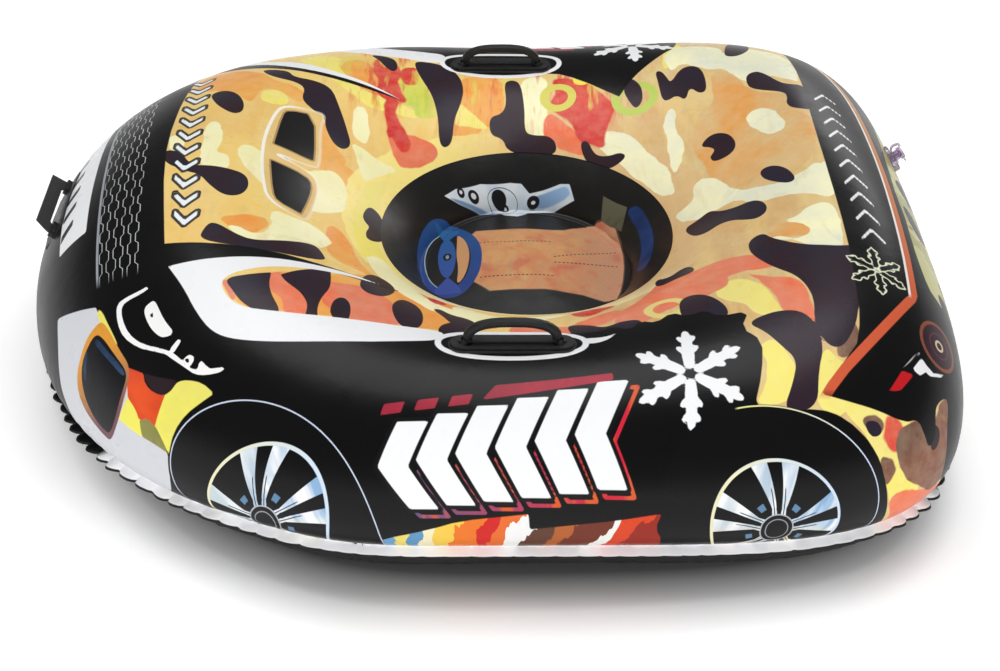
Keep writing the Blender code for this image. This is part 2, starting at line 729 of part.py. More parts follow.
def make_tether(seat, rise, mouth, parts, cutters, looks):
    """A band round the stem with a strap arched up beside the plug's cap."""
    low = rise + SOCKET_RISE + GAP
    high = low + TETHER_BAND
    ring = turned("valve_tether", [(STEM_RADIUS + GAP, high), (SOCKET_RADIUS, high), (SOCKET_RADIUS, low),
                                   (STEM_RADIUS + GAP, low)], looks["clear"], parts)
    ring.matrix_world = seat
    inner = max(COLLAR_RADIUS, CAP_RADIUS) + GAP
    start = (SOCKET_RADIUS + STEM_RADIUS) / 2
    tip = mouth + GAP + CAP_THICKNESS
    out = inner + TETHER_ARCH
    band = TETHER_BAND / 2
    path = bezier(Vector((start, low + band)), Vector((out + TETHER_ARCH, low + band)), Vector((out, tip)), 6)
    path += bezier(Vector((out, tip)), Vector((out - TETHER_ARCH / 4, tip + TETHER_ARCH / 2)),
                   Vector((inner + band, tip)), 3)[1:]
    sections = []
    for k, point in enumerate(path):
        ahead = (path[min(k + 1, len(path) - 1)] - path[max(k - 1, 0)]).normalized()
        side = Vector((-ahead.y, ahead.x)) * band
        for_row = [point - side, point + side]
        wide = TETHER_WIDTH / 2
        sections.append([Vector((-wide, for_row[0].x, for_row[0].y)), Vector((wide, for_row[0].x, for_row[0].y)),
                         Vector((wide, for_row[1].x, for_row[1].y)), Vector((-wide, for_row[1].x, for_row[1].y))])
    strap = add_cutter("tether_strap", loft("tether_strap", sections), cutters)
    strap.matrix_world = seat
    cut(ring, strap, "UNION")


def main():
    """Build the snow tube."""
    clear_scene()
    parts = make_collection(PART)
    cutters = make_collection(f"{PART}_cutters")
    looks = {
        "print": make_material("printed_pvc", (0.86, 0.58, 0.20), 0.25),
        "base": make_material("base_pvc", (0.045, 0.044, 0.042), 0.45),
        "wall": make_material("wall_pvc", (0.010, 0.010, 0.011), 0.25),
        "rubber": make_material("moulded_pvc", (0.012, 0.012, 0.012), 0.42),
        "webbing": make_material("webbing", (0.010, 0.010, 0.010), 0.85),
        "clear": make_material("clear_pvc", (0.62, 0.54, 0.68), 0.12, 0.5),
    }
    ring_body("skin_clear", GAP, cutters)
    ring_body("skin_tow_top", GAP + TOW_PATCH_THICKNESS, cutters)
    ring_body("skin_tow_clear", 2 * GAP + TOW_PATCH_THICKNESS, cutters)
    top = make_ring(parts, cutters, looks)
    skin = BVHTree.FromPolygons([v.co for v in top.data.vertices], [p.vertices for p in top.data.polygons])
    make_floor(parts, looks)
    for label, side in (("near", -1), ("far", 1)):
        make_handle(label, side, skin, parts, cutters, looks)
    make_tow(skin, parts, cutters, looks)
    make_valve(top, skin, parts, cutters, looks)


main()
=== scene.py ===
"""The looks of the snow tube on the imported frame: printed skin, base, seat well, grips, strap and valve."""
import math

import bpy
import numpy as np
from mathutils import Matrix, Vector


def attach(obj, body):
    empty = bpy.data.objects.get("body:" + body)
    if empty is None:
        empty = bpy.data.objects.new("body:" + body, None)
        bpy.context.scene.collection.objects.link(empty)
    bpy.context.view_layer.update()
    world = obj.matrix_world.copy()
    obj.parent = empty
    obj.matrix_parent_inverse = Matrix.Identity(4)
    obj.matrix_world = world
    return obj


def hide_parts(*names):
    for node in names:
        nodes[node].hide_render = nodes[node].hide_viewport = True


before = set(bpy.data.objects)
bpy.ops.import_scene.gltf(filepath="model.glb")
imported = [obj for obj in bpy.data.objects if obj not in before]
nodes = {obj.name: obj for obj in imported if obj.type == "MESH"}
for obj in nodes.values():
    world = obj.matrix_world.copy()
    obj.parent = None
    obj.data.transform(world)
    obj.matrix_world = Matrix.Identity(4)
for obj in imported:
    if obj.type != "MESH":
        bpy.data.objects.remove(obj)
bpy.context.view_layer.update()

# Lengths in metres, angles in radians. The ring's formulas are the CAD model's own
CM = 0.01
HALF_LENGTH = 0.556
HALF_WIDTH = 0.471
FRONT_POWER = 2.24
REAR_POWER = 4.6
POWER_BLEND_SHARE = 0.6
SIDE_CROWN_Z = 0.218
END_CROWN_Z = 0.272
RIDGE_SHARE = 0.535
BULGE_Z = 0.095
WELD_Z = 0.050
WELD_INSET = 0.023
LOWER_BEND_SHARE = 0.72
MARGIN_WIDTH = 0.0155
PRINTED_MARGIN = 0.0128     # the printed sheet ends a little inside the base sheet
MARGIN_DROOP = math.radians(32)
BASE_TUCK = 0.030
WELL_X = 0.055
WELL_RADIUS = 0.183
RIM_Z = 0.160
RIM_SLOPE = math.radians(42)
WALL_BEND_SHARE = 0.85
FLOOR_RADIUS = 0.134
FLOOR_Z = 0.100
FLOOR_DOME = 0.015
DOME_POWER = 1.5

# How finely the skins are meshed
COLUMNS = 1080
INNER_ROWS = 74
OUTER_ROWS = 74
LOWER_ROWS = 22
MARGIN_ROWS = 6
PANELS = 4
REACH = 0.02            # a print layer knows its distance this far


def srgb(red, green, blue):
    """A colour as a picture shows it, from 0 to 255, as the shader wants it."""
    shares = np.array([red, green, blue]) / 255
    low = shares / 12.92
    high = ((shares + 0.055) / 1.055) ** 2.4
    return (*np.where(shares <= 0.04045, low, high), 1.0)


# Camera, as solved from the photo's outline, and lamps
CAMERA_AT = (-0.0304, -1.7148, 1.3085)
CAMERA_TILT = math.radians(52.83)
camera_data = bpy.data.cameras.new("camera")
camera_data.lens = 59.08
camera_data.sensor_width = 36
camera_data.shift_x = 0.0417
camera_data.shift_y = -0.0109
camera = bpy.data.objects.new("camera", camera_data)
camera.location = CAMERA_AT
camera.rotation_euler = (CAMERA_TILT, 0, 0)
bpy.context.collection.objects.link(camera)
scene = bpy.context.scene
scene.camera = camera
scene.view_settings.view_transform = "Standard"

# Each soft box: name, place, size, power, and whether the film mirrors it
LAMPS = (
    ("overhead", (0.1, 0.55, 2.7), (2.4, 1.8), 45, True),
    ("left", (-2.9, -0.7, 1.2), (1.0, 1.2), 25, False),
    ("right", (2.9, -1.2, 1.3), (1.2, 1.2), 22, False),
    ("back", (1.7, 2.4, 1.1), (1.6, 0.8), 12, True),
    ("front", (-0.2, -3.3, 0.8), (3.0, 1.0), 60, False),
)
LAMP_TARGET = Vector((0, 0, 0.1))


def make_lamp(name, place, size, power, mirrored):
    """A soft box that faces the tube."""
    data = bpy.data.lights.new(name, "AREA")
    data.shape = "RECTANGLE"
    data.size = size[0]
    data.size_y = size[1]
    data.energy = power
    made = bpy.data.objects.new(name, data)
    made.location = place
    made.rotation_euler = (LAMP_TARGET - Vector(place)).to_track_quat("-Z", "Y").to_euler()
    made.visible_glossy = mirrored
    bpy.context.collection.objects.link(made)


for lamp in LAMPS:
    make_lamp(*lamp)


class Graph:
    """Builds a material's nodes: each call adds what it names and gives the output."""

    def __init__(self, name):
        self.material = bpy.data.materials.new(name)
        self.material.use_nodes = True
        self.tree = self.material.node_tree
        self.tree.nodes.clear()
        self.out = self.tree.nodes.new("ShaderNodeOutputMaterial")

    def plug(self, socket, value):
        """Links a socket's value, or sets a plain one; None leaves the socket as it is."""
        if isinstance(value, bpy.types.NodeSocket):
            self.tree.links.new(value, socket)
        elif value is not None:
            socket.default_value = value

    def math(self, operation, first, second=0.0):
        made = self.tree.nodes.new("ShaderNodeMath")
        made.operation = operation
        self.plug(made.inputs[0], first)
        self.plug(made.inputs[1], second)
        return made.outputs[0]

    def plus(self, first, second):
        return self.math("ADD", first, second)

    def minus(self, first, second):
        return self.math("SUBTRACT", first, second)

    def times(self, first, *others):
        for other in others:
            first = self.math("MULTIPLY", first, other)
        return first

    def ratio(self, first, second):
        return self.math("DIVIDE", first, second)

    def absolute(self, value):
        return self.math("ABSOLUTE", value)

    def far(self, along, across):
        """The length of the way with these two parts."""
        return self.math("SQRT", self.plus(self.times(along, along), self.times(across, across)))

    def attribute(self, name, output):
        made = self.tree.nodes.new("ShaderNodeAttribute")
        made.attribute_name = name
        return made.outputs[output]

    def value(self, name):
        return self.attribute(name, "Fac")

    def split(self, vector):
        """The three parts of a vector."""
        made = self.tree.nodes.new("ShaderNodeSeparateXYZ")
        self.plug(made.inputs[0], vector)
        return made.outputs

    def step(self, value, low, high, start=0.0, end=1.0):
        """Goes from start to end as the value goes from low to high, and no further."""
        made = self.tree.nodes.new("ShaderNodeMapRange")
        self.plug(made.inputs["Value"], value)
        made.inputs["From Min"].default_value = low
        made.inputs["From Max"].default_value = high
        made.inputs["To Min"].default_value = start
        made.inputs["To Max"].default_value = end
        return made.outputs["Result"]

    def near(self, value, outer, inner):
        """1 where the value is within inner of nothing, and 0 from outer on."""
        return self.step(self.absolute(value), outer, inner)

    def mix(self, share, first, second):
        made = self.tree.nodes.new("ShaderNodeMix")
        made.data_type = "RGBA"
        self.plug(made.inputs["Factor"], share)
        self.plug(made.inputs[6], first)
        self.plug(made.inputs[7], second)
        return made.outputs[2]

    def noise(self, scale, detail=2.0, roughness=0.5, at=None, stretch=None, distortion=0.0):
        made = self.tree.nodes.new("ShaderNodeTexNoise")
        made.inputs["Scale"].default_value = scale
        made.inputs["Detail"].default_value = detail
        made.inputs["Roughness"].default_value = roughness
        made.inputs["Distortion"].default_value = distortion
        if at is None:
            at = self.object_place()
        if stretch is not None:
            mapping = self.tree.nodes.new("ShaderNodeMapping")
            mapping.inputs["Scale"].default_value = stretch
            self.plug(mapping.inputs["Vector"], at)
            at = mapping.outputs["Vector"]
        self.plug(made.inputs["Vector"], at)
        return made.outputs["Fac"]

    def object_place(self):
        return self.tree.nodes.new("ShaderNodeTexCoord").outputs["Object"]

    def ramp(self, value, stops):
        """The tones of the stops, each flat up to the next one."""
        made = self.tree.nodes.new("ShaderNodeValToRGB")
        made.color_ramp.interpolation = "CONSTANT"
        points = made.color_ramp.elements
        while len(points) < len(stops):
            points.new(1.0)
        for point, (place, colour) in zip(points, stops):
            point.position = place
            point.color = colour
        self.plug(made.inputs["Fac"], value)
        return made.outputs["Color"]

    def bump(self, height, distance, strength):
        made = self.tree.nodes.new("ShaderNodeBump")
        made.inputs["Strength"].default_value = strength
        made.inputs["Distance"].default_value = distance
        self.plug(made.inputs["Height"], height)
        return made.outputs["Normal"]

    def finish(self, shader):
        self.tree.links.new(shader, self.out.inputs["Surface"])
        return self.material

    def plastic(self, colour, roughness, normal, **settings):
        """The finished material; a setting's name has lines in place of spaces."""
        made = self.tree.nodes.new("ShaderNodeBsdfPrincipled")
        self.plug(made.inputs["Base Color"], colour)
        self.plug(made.inputs["Roughness"], roughness)
        self.plug(made.inputs["Normal"], normal)
        for name, value in settings.items():
            self.plug(made.inputs[name.replace("_", " ")], value)
        return self.finish(made.outputs["BSDF"])


class Print(Graph):
    """A graph that lays one tone over another; its places are in metres on the print."""

    def __init__(self, name, soft):
        super().__init__(name)
        self.soft = soft
        self.at = self.attribute("print_place", "Vector")
        self.along, self.across, _ = self.split(self.at)
        self.side = None        # how far off the axis, on either side
        self.brush = None       # streaks across the tube
        self.wash = None        # soft clouds between two tones
        self.wobble = None      # unevenness of a loose layer's edge
        self.colour = None

    def over(self, share, tone):
        """Lays the tone over the colour so far."""
        self.colour = self.mix(share, self.colour, tone)

    def layer(self, name, first, second=None, soft=None, loose=False, inset=0.0):
        """Paints where the named value says inside; two tones are washed into each other."""
        soft = soft or self.soft
        value = self.value(name)
        if loose:
            value = self.plus(value, self.wobble)
        tone = first if second is None else self.mix(self.wash, first, second)
        self.over(self.step(value, inset - soft, inset + soft), tone)

    def line(self, name, width, tone, offset=0.0, soft=0.0004):
        """A line of this width along the edge of the named value, or beside it."""
        away = self.minus(self.value(name), offset)
        self.over(self.near(away, width / 2 + soft, width / 2 - soft), tone)

    def ring(self, across, centre, radius, width):
        """1 within a ring round the centre; lengths in cm."""
        far = self.far(self.minus(self.along, centre[0] * CM), self.minus(across, centre[1] * CM))
        return self.near(self.minus(far, radius * CM), width * CM / 2 + 0.0003, width * CM / 2 - 0.0003)


# How far outside the outline the floor's rings of points are, and where its painted shadow (darker colour and
# weaker glow close round the tube) changes
FLOOR_RINGS = [-0.40, -0.12, -0.08, -0.05, -0.03, -0.01, 0.01, 0.03, 0.05, 0.08, 0.12, 0.2, 0.5, 2, 9]
FLOOR_COLUMNS = 144
FLOOR_PAINTED_SHADOW = (-0.03, 0.03, 0.16, 0.90)
FLOOR_GLOW = (0.02, 0.08, 0, 0.32)
FLOOR_EDGE_SHIFT = (0.10, 0.06, 0.08)       # at the front, at the rear, at most

WORLD_LEVEL = 0.17
SKY_BAND = 0.22         # the height where the mirrored sky has darkened from white to the world's level


def make_floor():
    """The pale ground: white to the camera, with a painted shadow close round the tube, where its colour
    darkens and its glow fades out.
    """
    angle = np.linspace(0, 2 * math.pi, FLOOR_COLUMNS + 1)[:-1]
    outside = np.array(FLOOR_RINGS)
    reach = outline_radius(angle)[:, None] + outside
    points = np.stack([np.cos(angle)[:, None] * reach, np.sin(angle)[:, None] * reach, reach * 0], -1)
    front_shift, rear_shift, most = FLOOR_EDGE_SHIFT
    shift = np.where(points[..., 0] < 0, front_shift, rear_shift) * (points[..., 0] / HALF_LENGTH) ** 2
    values = {"outside": outside + np.clip(shift, 0, most)}
    ground = make_mesh("ground", points, points * 0 + np.array([0, 0, 1]), values, {}, wrap=True)
    paint = Graph("ground")
    path = paint.tree.nodes.new("ShaderNodeLightPath")
    seen = paint.math("MAXIMUM", path.outputs["Is Camera Ray"], path.outputs["Is Glossy Ray"])
    seen = paint.math("MAXIMUM", seen, path.outputs["Is Transmission Ray"])
    far = paint.value("outside")
    diffuse = paint.tree.nodes.new("ShaderNodeBsdfDiffuse")
    # painted shadow: the floor's colour is darker close round the tube
    paint.plug(diffuse.inputs["Color"], paint.step(far, *FLOOR_PAINTED_SHADOW))
    glow = paint.tree.nodes.new("ShaderNodeEmission")
    # the glow fades out close round the tube, which deepens the painted shadow
    paint.plug(glow.inputs["Strength"], paint.times(seen, paint.step(far, *FLOOR_GLOW)))
    both = paint.tree.nodes.new("ShaderNodeAddShader")
    paint.plug(both.inputs[0], diffuse.outputs[0])
    paint.plug(both.inputs[1], glow.outputs[0])
    ground.data.materials.append(paint.finish(both.outputs[0]))


def make_world():
    """Even light from all round; what is seen in it is white low down and greyer overhead."""
    world = bpy.data.worlds.new("world")
    world.use_nodes = True
    tree = world.node_tree
    back = tree.nodes["Background"]
    back.inputs["Color"].default_value = (1, 1, 1, 1)
    path = tree.nodes.new("ShaderNodeLightPath")
    seen = path.outputs["Is Camera Ray"]
    for name in ("Is Glossy Ray", "Is Transmission Ray"):
        either = tree.nodes.new("ShaderNodeMath")
        either.operation = "MAXIMUM"
        tree.links.new(seen, either.inputs[0])
        tree.links.new(path.outputs[name], either.inputs[1])
        seen = either.outputs[0]
    height = tree.nodes.new("ShaderNodeSeparateXYZ")
    tree.links.new(tree.nodes.new("ShaderNodeTexCoord").outputs["Generated"], height.inputs[0])
    sky = tree.nodes.new("ShaderNodeMapRange")
    sky.inputs["From Max"].default_value = SKY_BAND
    sky.inputs["To Min"].default_value = 1.0
    sky.inputs["To Max"].default_value = WORLD_LEVEL
    tree.links.new(height.outputs[2], sky.inputs["Value"])
    level = tree.nodes.new("ShaderNodeMapRange")
    level.inputs["To Min"].default_value = WORLD_LEVEL
    tree.links.new(sky.outputs["Result"], level.inputs["To Max"])
    tree.links.new(seen, level.inputs["Value"])
    tree.links.new(level.outputs["Result"], back.inputs["Strength"])
    scene.world = world


make_world()


# Shapes
def outline_radius(angle):
    """The ring's outline in plan, blended from a round front to a squarer rear."""
    along = np.abs(np.cos(angle))
    across = np.abs(np.sin(angle))
    blend = np.clip(0.5 + 0.5 * np.cos(angle) / POWER_BLEND_SHARE, 0, 1)
    blend = blend * blend * (3 - 2 * blend)
    power = FRONT_POWER + (REAR_POWER - FRONT_POWER) * blend
    return ((along / HALF_LENGTH) ** power + (across / HALF_WIDTH) ** power) ** (-1 / power)


def section_places(angle):
    """For each angle: the rim's point in plan, the way out, the reach to the outline, and the crown."""
    turn = np.stack([np.cos(angle), np.sin(angle)], -1)
    rim = np.array([WELL_X, 0]) + turn * WELL_RADIUS
    span = turn * outline_radius(angle)[:, None] - rim
    reach = np.linalg.norm(span, axis=1)
    crown = SIDE_CROWN_Z * np.sin(angle) ** 2 + END_CROWN_Z * np.cos(angle) ** 2
    return rim, span / reach[:, None], reach, crown


def bezier(first, middle, last, steps):
    """Points of a quadratic curve; each control point is (columns, 2)."""
    share = np.linspace(0, 1, steps)[None, :, None]
    points = [np.asarray(point)[:, None, :] for point in (first, middle, last)]
    return points[0] * (1 - share) ** 2 + points[1] * 2 * share * (1 - share) + points[2] * share ** 2


def pairs(first, second):
    """Two values, either of them one for each column, as points."""
    first, second = np.broadcast_arrays(first, second)
    return np.stack([first, second], -1)


def respaced(points, rows):
    """Each column's points set evenly along its own length."""
    lengths = np.linalg.norm(np.diff(points, axis=1), axis=2)
    along = np.concatenate([np.zeros((len(points), 1)), np.cumsum(lengths, axis=1)], axis=1)
    made = np.empty((len(points), rows, 2))
    for k in range(len(points)):
        wanted = np.linspace(0, along[k, -1], rows)
        made[k, :, 0] = np.interp(wanted, along[k], points[k, :, 0])
        made[k, :, 1] = np.interp(wanted, along[k], points[k, :, 1])
    return made


def skin_sections(reach, crown):
    """The top skin's section from the rim to the margin's edge, evenly spaced part by part."""
    ridge = RIDGE_SHARE * reach
    rim = pairs(0 * reach, RIM_Z)
    inner = bezier(rim, pairs((crown - RIM_Z) / math.tan(RIM_SLOPE), crown), pairs(ridge, crown), 120)
    turn = np.linspace(0, math.pi / 2, 120)[None]
    outer = np.stack([ridge[:, None] + (reach - ridge)[:, None] * np.sin(turn),
                      BULGE_Z + (crown[:, None] - BULGE_Z) * np.cos(turn)], -1)
    weld = pairs(reach - WELD_INSET, WELD_Z)
    bend = pairs(reach, BULGE_Z - (BULGE_Z - WELD_Z) * LOWER_BEND_SHARE)
    lower = bezier(pairs(reach, BULGE_Z), bend, weld, 60)
    down = np.array([math.cos(MARGIN_DROOP), -math.sin(MARGIN_DROOP)])
    share = np.linspace(0, 1, MARGIN_ROWS + 1)[None, 1:, None]
    margin = weld[:, None, :] + share * PRINTED_MARGIN * down
    inner = respaced(inner, INNER_ROWS)
    outer = respaced(outer, OUTER_ROWS)[:, 1:]
    lower = respaced(lower, LOWER_ROWS)[:, 1:]
    return np.concatenate([inner, outer, lower, margin], axis=1)


RIDGE_ROW = INNER_ROWS - 1
WELD_ROW = INNER_ROWS + OUTER_ROWS + LOWER_ROWS - 3


def smoothed(points, passes, last):
    """Rows up to the last one evened out along the section; both ends stay."""
    points = points.copy()
    for _ in range(passes):
        part = points[:, :last + 1]
        points[:, 1:last] = (part[:, :-2] + 2 * part[:, 1:-1] + part[:, 2:]) / 4
    return points


def grid_normals(points):
    """Outward unit normals of a grid whose columns run round and close."""
    round_way = np.roll(points, -1, 0) - np.roll(points, 1, 0)
    down_way = np.gradient(points, axis=1)
    normal = np.cross(down_way, round_way)
    return normal / np.maximum(np.linalg.norm(normal, axis=2, keepdims=True), 1e-12)


def soft_step(value, low, high):
    """0 up to low, 1 from high on, and a smooth rise between them."""
    share = np.clip((value - low) / (high - low), 0, 1)
    return share * share * (3 - 2 * share)


def waves(seed, angle, counts):
    """A smooth sum of waves round the ring, from -1 to 1, alike in each run."""
    drawn = np.random.default_rng(seed)
    total = 0
    for count in counts:
        total = total + np.sin(count * angle + drawn.uniform(0, 2 * math.pi)) * drawn.uniform(0.6, 1.0)
    return total / len(counts)


REAR_CORNER = math.radians(32)
REAR_CORNER_WIDTH = math.radians(11)


def turned_away(angle, where):
    """How far each angle is from one place on the ring, the short way round."""
    return np.angle(np.exp(1j * (angle - where)))


def corner_share(angle):
    """How tight the outline turns: 0 along the sides, 1 at the front and at the rear corners."""
    front = soft_step(-np.cos(angle), 0.68, 0.84)
    front = np.maximum(front, 0.3 * soft_step(-np.cos(angle), 0.25, 0.65))
    corner = 0
    for side in (-1, 1):
        corner = corner + np.exp(-(turned_away(angle, side * REAR_CORNER) / REAR_CORNER_WIDTH) ** 2)
    return np.maximum(front, corner)


def weld_lengths(angle):
    """How far round the weld each column is, and the whole way round."""
    rim, out, reach, _ = section_places(angle)
    weld = rim + out * (reach - WELD_INSET)[:, None]
    steps = np.linalg.norm(np.roll(weld, -1, 0) - weld, axis=1)
    return np.concatenate([[0], np.cumsum(steps)[:-1]]), steps.sum()


# Gathers of the sheet at the weld, and the margin's waves that go with them
PUCKER_PITCH = 0.023
PUCKER_RISE = 0.0036
PUCKER_LENGTH = 0.075
PUCKER_LEVEL = 0.72         # the share of a gather's hill that stays level with the smooth sheet
RUFFLE_OUT = 0.0165
RUFFLE_UP = 0.0050
RUFFLE_FINE = 0.0007


def gathers(angle):
    """For each column of the weld, its gather's hill from 0 to 1 and how strong it is."""
    along, whole = weld_lengths(angle)
    count = round(whole / PUCKER_PITCH)
    phase = along / whole * count + 0.55 * waves(3, angle, (5, 9, 17, 31))
    share = phase - np.floor(phase)
    hill = np.sqrt(np.clip(1 - (2 * share - 1) ** 2, 0, 1))
    strength = (0.12 + 0.88 * corner_share(angle)) * (1 + 0.4 * waves(5, angle, (23, 41, 67)))
    return hill, strength


def ruffled(points, angle, share_out, out):
    """The margin's own waves: it stands out and up at each hill, more so round the bends."""
    hill, strength = gathers(angle)
    fine = waves(8, angle, (83, 121, 157, 203)) * RUFFLE_FINE
    far = ((hill - 0.46) * RUFFLE_OUT * strength + fine)[:, None] * share_out
    up = ((hill - 0.55) * RUFFLE_UP * strength + 0.6 * fine)[:, None] * share_out
    moved = points.copy()
    moved[..., 0] += out[:, :1] * far
    moved[..., 1] += out[:, 1:] * far
    moved[..., 2] += up
    return moved


def puckered(points, angle, out):
    """The gathers that a flat sheet takes up where it is welded round a bend, and faint ones elsewhere."""
    hill, strength = gathers(angle)
    lengths = np.linalg.norm(np.diff(points, axis=1), axis=2)
    below = np.cumsum(lengths[:, ::-1], axis=1)[:, ::-1]
    below = np.concatenate([below, np.zeros((len(points), 1))], axis=1)
    above_weld = below - below[:, WELD_ROW:WELD_ROW + 1]
    length = PUCKER_LENGTH * (0.40 + 0.60 * corner_share(angle)) * (1 + 0.3 * waves(6, angle, (19, 37)))
    fade = np.clip(1 - above_weld / length[:, None], 0, 1) ** 1.7
    fade = fade * soft_step(above_weld, -0.004, 0.006)
    normal = grid_normals(points)
    rise = (hill - PUCKER_LEVEL) * PUCKER_RISE * strength
    moved = points + normal * (rise[:, None] * fade)[..., None]
    return ruffled(moved, angle, soft_step(-above_weld, 0, MARGIN_WIDTH), out)


# Soft dents round the well: where in degrees, how wide in degrees, how deep in millimetres
DENTS = ((25, 7, 2.2), (152, 6, 1.8), (208, 8, 2.6), (-28, 8, 3.0), (-62, 6, 1.6), (96, 9, 1.6))
LOW_WAVE = 0.0011
MID_WAVE = 0.0005


def undulated(points, angle):
    """Shallow unevenness of the blown-up film, and the soft radial dents round the well."""
    share = np.linspace(0, 1, points.shape[1])[None]
    low = waves(11, angle, (3, 5, 8))[:, None] * np.sin(math.pi * share) * LOW_WAVE
    mid = waves(12, angle, (13, 21, 27))[:, None] * np.sin(math.pi * share * 2) ** 2 * MID_WAVE
    normal = grid_normals(points)
    height = low + mid
    from_rim = np.linspace(0, 1, INNER_ROWS)
    rim_fade = np.zeros(points.shape[1])
    rim_fade[:INNER_ROWS] = np.sin(math.pi * np.clip(from_rim / 0.75, 0, 1) ** 0.7) ** 2
    for where, width, depth in DENTS:
        away = turned_away(angle, math.radians(where))
        dent = -depth * 0.001 * np.exp(-(away / math.radians(width)) ** 2)
        height = height + dent[:, None] * rim_fade[None]
    return points + normal * height[..., None]


def make_mesh(name, points, normals, values, vectors, wrap):
    """A grid of columns and rows as a smooth mesh with its own normals and named values."""
    columns, rows = points.shape[:2]
    index = np.arange(columns * rows).reshape(columns, rows)
    near = index if wrap else index[:-1]
    far = np.roll(index, -1, 0) if wrap else index[1:]
    quads = np.stack([near[:, :-1], near[:, 1:], far[:, 1:], far[:, :-1]], -1).reshape(-1, 4)
    mesh = bpy.data.meshes.new(name)
    mesh.vertices.add(columns * rows)
    mesh.vertices.foreach_set("co", points.reshape(-1))
    mesh.loops.add(quads.size)
    mesh.loops.foreach_set("vertex_index", quads.reshape(-1))
    mesh.polygons.add(len(quads))
    mesh.polygons.foreach_set("loop_start", np.arange(0, quads.size, 4))
    mesh.polygons.foreach_set("use_smooth", np.ones(len(quads), bool))
    mesh.update(calc_edges=True)
    for label, value in values.items():
        flat = value.reshape(-1).astype(np.float32)
        mesh.attributes.new(label, "FLOAT", "POINT").data.foreach_set("value", flat)
    for label, value in vectors.items():
        flat = value.reshape(-1, 3).astype(np.float32)
        mesh.attributes.new(label, "FLOAT_VECTOR", "POINT").data.foreach_set("vector", flat.reshape(-1))
    if normals is not None:
        mesh.normals_split_custom_set_from_vertices(normals.reshape(-1, 3).tolist())
    made = bpy.data.objects.new(name, mesh)
    bpy.context.collection.objects.link(made)
    return made


# Print outlines, in cm on the unrolled skin: x along the tube, y across it
def rounded(ring, rounds):
    """The closed outline with its corners cut again and again; a third value keeps a point's corner."""
    doubled = []
    for point in ring:
        doubled += [point[:2]] * (2 if len(point) > 2 else 1)
    ring = np.array(doubled, float)
    for _ in range(rounds):
        after = np.roll(ring, -1, 0)
        ring = np.stack([ring * 0.75 + after * 0.25, ring * 0.25 + after * 0.75], 1).reshape(-1, 2)
    return ring


def inside_distance(places, outlines, rounds):
    """How far inside the outlines each place is, in metres, and less than nothing outside them."""
    best = np.full(len(places), -REACH)
    for outline in outlines:
        ring = rounded(outline, rounds) * CM
        close = ((places > ring.min(0) - REACH) & (places < ring.max(0) + REACH)).all(1)
        chosen = np.flatnonzero(close)
        at = places[chosen]
        nearest = np.full(len(at), REACH ** 2)
        inside = np.zeros(len(at), bool)
        for start, end in zip(ring, np.roll(ring, -1, 0)):
            way = end - start
            size = way @ way
            if size < 1e-12:
                continue
            share = np.clip(((at - start) @ way) / size, 0, 1)
            nearest = np.minimum(nearest, ((at - start - share[:, None] * way) ** 2).sum(1))
            crosses = (start[1] > at[:, 1]) != (end[1] > at[:, 1])
            if way[1] != 0:
                inside ^= crosses & (at[:, 0] < start[0] + (at[:, 1] - start[1]) * way[0] / way[1])
        value = np.where(inside, 1, -1) * np.sqrt(nearest)
        best[chosen] = np.maximum(best[chosen], value)
    return best


ORANGE = [
    [(-3.6, 23.5), (-2, 28.9), (2.1, 29.6), (1.9, 23.1), (0.7, 19.6), (-3, 16.7), (-3.8, 19.5)],
    [(-37.7, 24.4), (-34, 25.5), (-29.1, 23.8), (-27.5, 21.1), (-24.2, 20), (-22.9, 18.3), (-23.6, 16.1),
     (-25.7, 18), (-28.6, 18.4), (-29, 16), (-29.7, 13.7), (-30.8, 15), (-32.8, 16.4), (-34.5, 17.4),
     (-36, 16.9), (-37.5, 19)],
    [(-21, 13.4), (-19.7, 13.8), (-18.8, 11.8), (-17.5, 9.4), (-16, 7.7), (-17.1, 6.7), (-18.6, 7.3),
     (-20, 7.5), (-20.7, 10)],
    [(-19.7, 7.8), (-17.1, 7.3), (-15.1, 7), (-13, 6.5), (-13.9, 3.2), (-14.5, 1), (-15.3, 3.5),
     (-17.3, 4.8), (-19.7, 3.8), (-20.2, 5.4)],
    [(-29.3, -23.6), (-23.6, -21.9), (-17.2, -20.2), (-11.5, -16.3), (-5.9, -12.1), (-1.6, -22.6),
     (1.5, -26.9), (1.3, -27.9), (-7, -29.2), (-14.5, -28.5), (-22.6, -28.3), (-27, -27.8)],
    [(-30.7, -13), (-28.4, -11.9), (-25.7, -11.1), (-24.6, -12.1), (-25.4, -14.2), (-26.5, -15.2),
     (-28, -14.5), (-29.3, -14.4)],
    [(-18, -7.5), (-16.1, -6), (-14.3, -8.6), (-13.4, -14.2), (-11.6, -18.3), (-9.6, -19.5), (-12.4, -17.9),
     (-14.8, -16.2), (-17.2, -15.8), (-18.1, -12.8)],
    [(-19.2, 29.7), (-16.1, 30.9), (-13.6, 27.8), (-13.3, 21.4), (-15.1, 19.9), (-17.1, 22.3), (-19, 24.1)],
    [(-2.8, 28.9), (2.4, 29.3), (3.2, 27.4), (3.2, 22.7), (1.8, 21.7), (1.6, 19.8), (-0.5, 21.5),
     (-2.1, 22.4), (-2.8, 25.2)],
    [(30.8, 24.5), (32.7, 25.4), (33.9, 22.6), (34.6, 19.8), (36.2, 17.3), (39, 16.3), (39.3, 12.4),
     (41.1, 9.9), (41.6, 7.8), (40.4, 0.1), (38, -2.9), (34.8, -3.7), (31.8, -2.5), (29.4, 0.1),
     (28.1, 2.8), (26.6, 4.8), (26.7, 7.9), (26.3, 10.6), (27, 14.1), (28.4, 16.5), (30.5, 18),
     (30.6, 21.3)],
    [(32.8, -11.8), (34.7, -12.6), (36.6, -13.4), (37.5, -14.8), (36.9, -16), (35.5, -16), (33.6, -15.2),
     (32.8, -14)],
]
